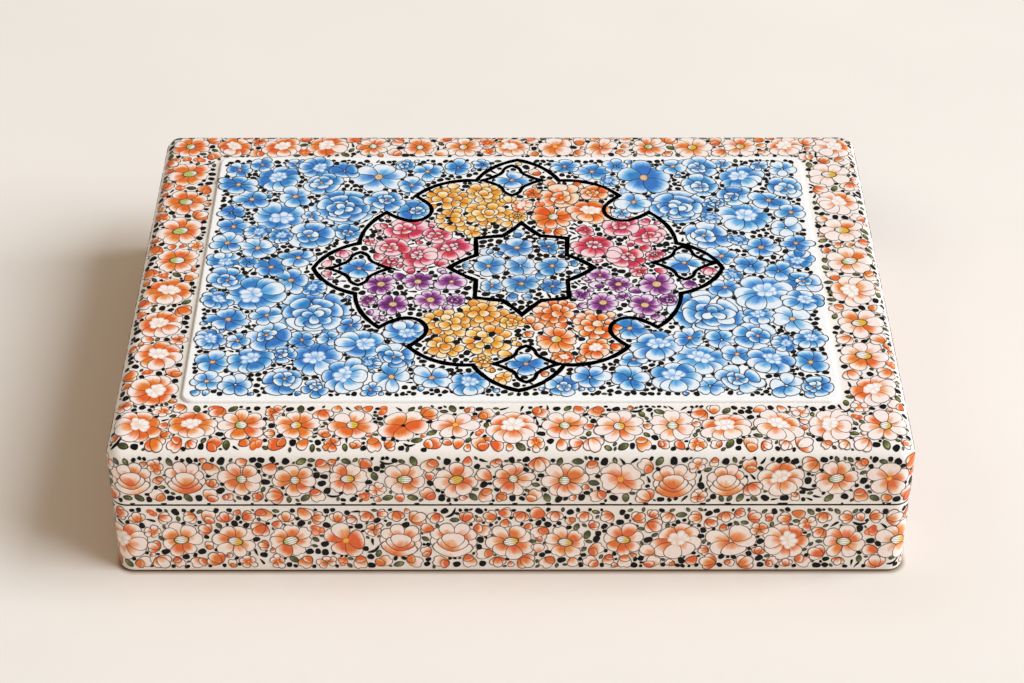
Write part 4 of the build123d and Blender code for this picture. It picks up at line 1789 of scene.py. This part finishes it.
class BOX_OT_finish_hinges(bpy.types.Operator):
    """Give the hinges, pins and nails their brass"""

    bl_idname = "painted_box.finish_hinges"
    bl_label = "Finish hinges"

    def execute(self, context):
        brass = stamped_brass("tarnished_stamped_brass", tuple(context.scene.painted_box_colours.brass))
        names = [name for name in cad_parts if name.startswith("hinge_") or name.endswith("_nails")]
        finish_nodes(brass, *names)
        return {"FINISHED"}


# ---- Stage -------------------------------------------------------------------------------
class BOX_OT_set_stage(bpy.types.Operator):
    """Set the pale floor, the soft light and the camera"""

    bl_idname = "painted_box.set_stage"
    bl_label = "Set stage"

    def execute(self, context):
        scene = context.scene
        floor_colour = tuple(scene.painted_box_colours.floor)
        make_floor(floor_colour)
        make_world(floor_colour)
        make_lamp()
        make_camera()
        scene.view_settings.view_transform = "Standard"
        return {"FINISHED"}


def make_floor(floor_colour):
    """A wide flat floor with a faint paper grain."""
    reach, cells = 4.0, 8
    steps = np.linspace(-reach, reach, cells + 1)
    grid_x, grid_y = np.meshgrid(steps, steps)
    places = np.column_stack((grid_x.ravel(), grid_y.ravel(), np.zeros(grid_x.size)))
    corner = (np.arange(cells)[:, None] * (cells + 1) + np.arange(cells)[None]).ravel()
    faces = np.column_stack((corner, corner + 1, corner + cells + 2, corner + cells + 1))
    mesh = bpy.data.meshes.new("floor")
    mesh.from_pydata(places.tolist(), [], faces.tolist())
    floor = bpy.data.objects.new("floor", mesh)
    bpy.context.scene.collection.objects.link(floor)
    mesh.materials.append(floor_paper(floor_colour))


def floor_paper(floor_colour):
    """Pale paper, with painted shade round the box for the light that the box throws back or keeps off."""
    finish = {"Roughness": 1.0, "Specular IOR Level": 0.0}
    material, tree, shader, place = start_material("pale_paper_floor", **finish)
    grain = noise(tree, place, per_metre(90.0), 3.0)
    paper = ramp(tree, grain, ((0.3, tinted(floor_colour, 0.97, 0.97, 0.97)), (0.7, floor_colour)))
    # painted shade: the paper is a little darker and warmer round the box, and darker on its lit side,
    # where the box throws light on it; along its foot lies a painted contact shadow
    split = separate(tree, place)
    away = from_walls(tree, split)
    # painted warm shade in a ring round the box
    painted_warm_shade = tinted(floor_colour, 0.965, 0.94, 0.915)
    paper = blend_colours(tree, smooth_range(tree, away, 0.0, 48 * MM), painted_warm_shade, paper)
    # painted shade on the floor beside the box's lit side
    lit_side = smooth_range(tree, split["X"], 60 * MM, 120 * MM)
    beside = smooth_range(tree, split["Y"], -130 * MM, -50 * MM)
    painted_shade_on_lit_side = times(tree, times(tree, lit_side, smooth_range(tree, away, 62 * MM, 0.0)), beside)
    paper = blend_colours(tree, painted_shade_on_lit_side, paper, tinted(floor_colour, 0.85, 0.865, 0.875))
    # painted contact shadow along the box's foot
    painted_contact_shadow = times(tree, smooth_range(tree, away, 2.1 * MM, -0.6 * MM), 0.85)
    paper = blend_colours(tree, painted_contact_shadow, paper, (0.26, 0.12, 0.03, 1.0))
    tree.links.new(paper, shader.inputs["Base Color"])
    # far from the box the floor passes into the backdrop's colour without a horizon
    distance = add_node(tree, "ShaderNodeVectorMath", {0: place}, operation="LENGTH").outputs["Value"]
    haze = add_node(tree, "ShaderNodeEmission", {"Color": floor_colour, "Strength": 1.0})
    far = smooth_range(tree, distance, 0.6, 1.8)
    mixed = {0: far, 1: shader.outputs["BSDF"], 2: haze.outputs["Emission"]}
    faded = add_node(tree, "ShaderNodeMixShader", mixed).outputs["Shader"]
    surface = next(node for node in tree.nodes if node.type == "OUTPUT_MATERIAL").inputs["Surface"]
    tree.links.new(faded, surface)
    return material


def make_world(floor_colour):
    """Warm even light from the room, with the floor's colour as the visible background."""
    world = bpy.data.worlds.new("room")
    bpy.context.scene.world = world
    world.use_nodes = True
    tree = world.node_tree
    tree.nodes.clear()
    seen = add_node(tree, "ShaderNodeLightPath").outputs["Is Camera Ray"]
    room = add_node(tree, "ShaderNodeBackground", {"Color": (0.60, 0.50, 0.385, 1), "Strength": 0.64})
    shown = add_node(tree, "ShaderNodeBackground", {"Color": floor_colour, "Strength": 1.0})
    mixed = add_node(tree, "ShaderNodeMixShader", {0: seen, 1: room.outputs[0], 2: shown.outputs[0]})
    add_node(tree, "ShaderNodeOutputWorld", {"Surface": mixed.outputs[0]})


def make_lamp():
    """A soft rectangular lamp to the right and a little in front, facing the box."""
    lamp = bpy.data.lights.new("window_light", "AREA")
    lamp.shape = "RECTANGLE"
    lamp.size = 4.6
    lamp.size_y = 4.4
    lamp.energy = 536.0
    lamp.color = (0.80, 0.89, 1.0)
    holder = bpy.data.objects.new("window_light", lamp)
    bpy.context.scene.collection.objects.link(holder)
    holder.location = (4.6, -0.9, 3.9)
    holder.rotation_euler = (-holder.location).to_track_quat("-Z", "Y").to_euler()


def make_camera():
    """A short telephoto view from the front, looking down at the lid."""
    lens = bpy.data.cameras.new("camera")
    lens.lens = 87.0
    lens.sensor_width = 36.0
    look_down, turn = 37.21, -0.054  # in degrees
    camera = bpy.data.objects.new("camera", lens)
    camera.location = (-0.0002, -0.6856, 0.5443)
    camera.rotation_euler = (math.radians(90 - look_down), 0.0, math.radians(turn))
    bpy.context.scene.collection.objects.link(camera)
    bpy.context.scene.camera = camera


# ---- Add-on ------------------------------------------------------------------------------
OPERATORS = (
    BOX_OT_set_stage,
    BOX_OT_finish_shells,
    BOX_OT_finish_linings,
    BOX_OT_finish_hinges,
    BOX_OT_paint_field,
    BOX_OT_paint_medallion,
    BOX_OT_paint_border,
    BOX_OT_paint_lid_sides,
    BOX_OT_paint_base_sides,
)


class BOX_PT_panel(bpy.types.Panel):
    """Lists the steps that paint and finish the box"""

    bl_idname = "BOX_PT_panel"
    bl_label = "Painted Box"
    bl_space_type = "VIEW_3D"
    bl_region_type = "UI"
    bl_category = "Painted Box"

    def draw(self, context):
        column = self.layout.column(align=True)
        for operator in OPERATORS:
            column.operator(operator.bl_idname)
        for group in (context.scene.painted_box_sizes, context.scene.painted_box_colours):
            for key in group.bl_rna.properties.keys()[2:]:
                self.layout.prop(group, key)


CLASSES = (BOX_PG_colours, BOX_PG_sizes, *OPERATORS, BOX_PT_panel)


def register():
    """Register the classes and hang the settings on the scene."""
    for cls in CLASSES:
        bpy.utils.register_class(cls)
    bpy.types.Scene.painted_box_colours = PointerProperty(type=BOX_PG_colours)
    bpy.types.Scene.painted_box_sizes = PointerProperty(type=BOX_PG_sizes)


def unregister():
    """Undo register."""
    del bpy.types.Scene.painted_box_sizes
    del bpy.types.Scene.painted_box_colours
    for cls in reversed(CLASSES):
        bpy.utils.unregister_class(cls)


def main():
    """Register the add-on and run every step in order."""
    register()
    for operator in OPERATORS:
        group, name = operator.bl_idname.split(".")
        getattr(getattr(bpy.ops, group), name)()


if __name__ == "__main__":
    main()
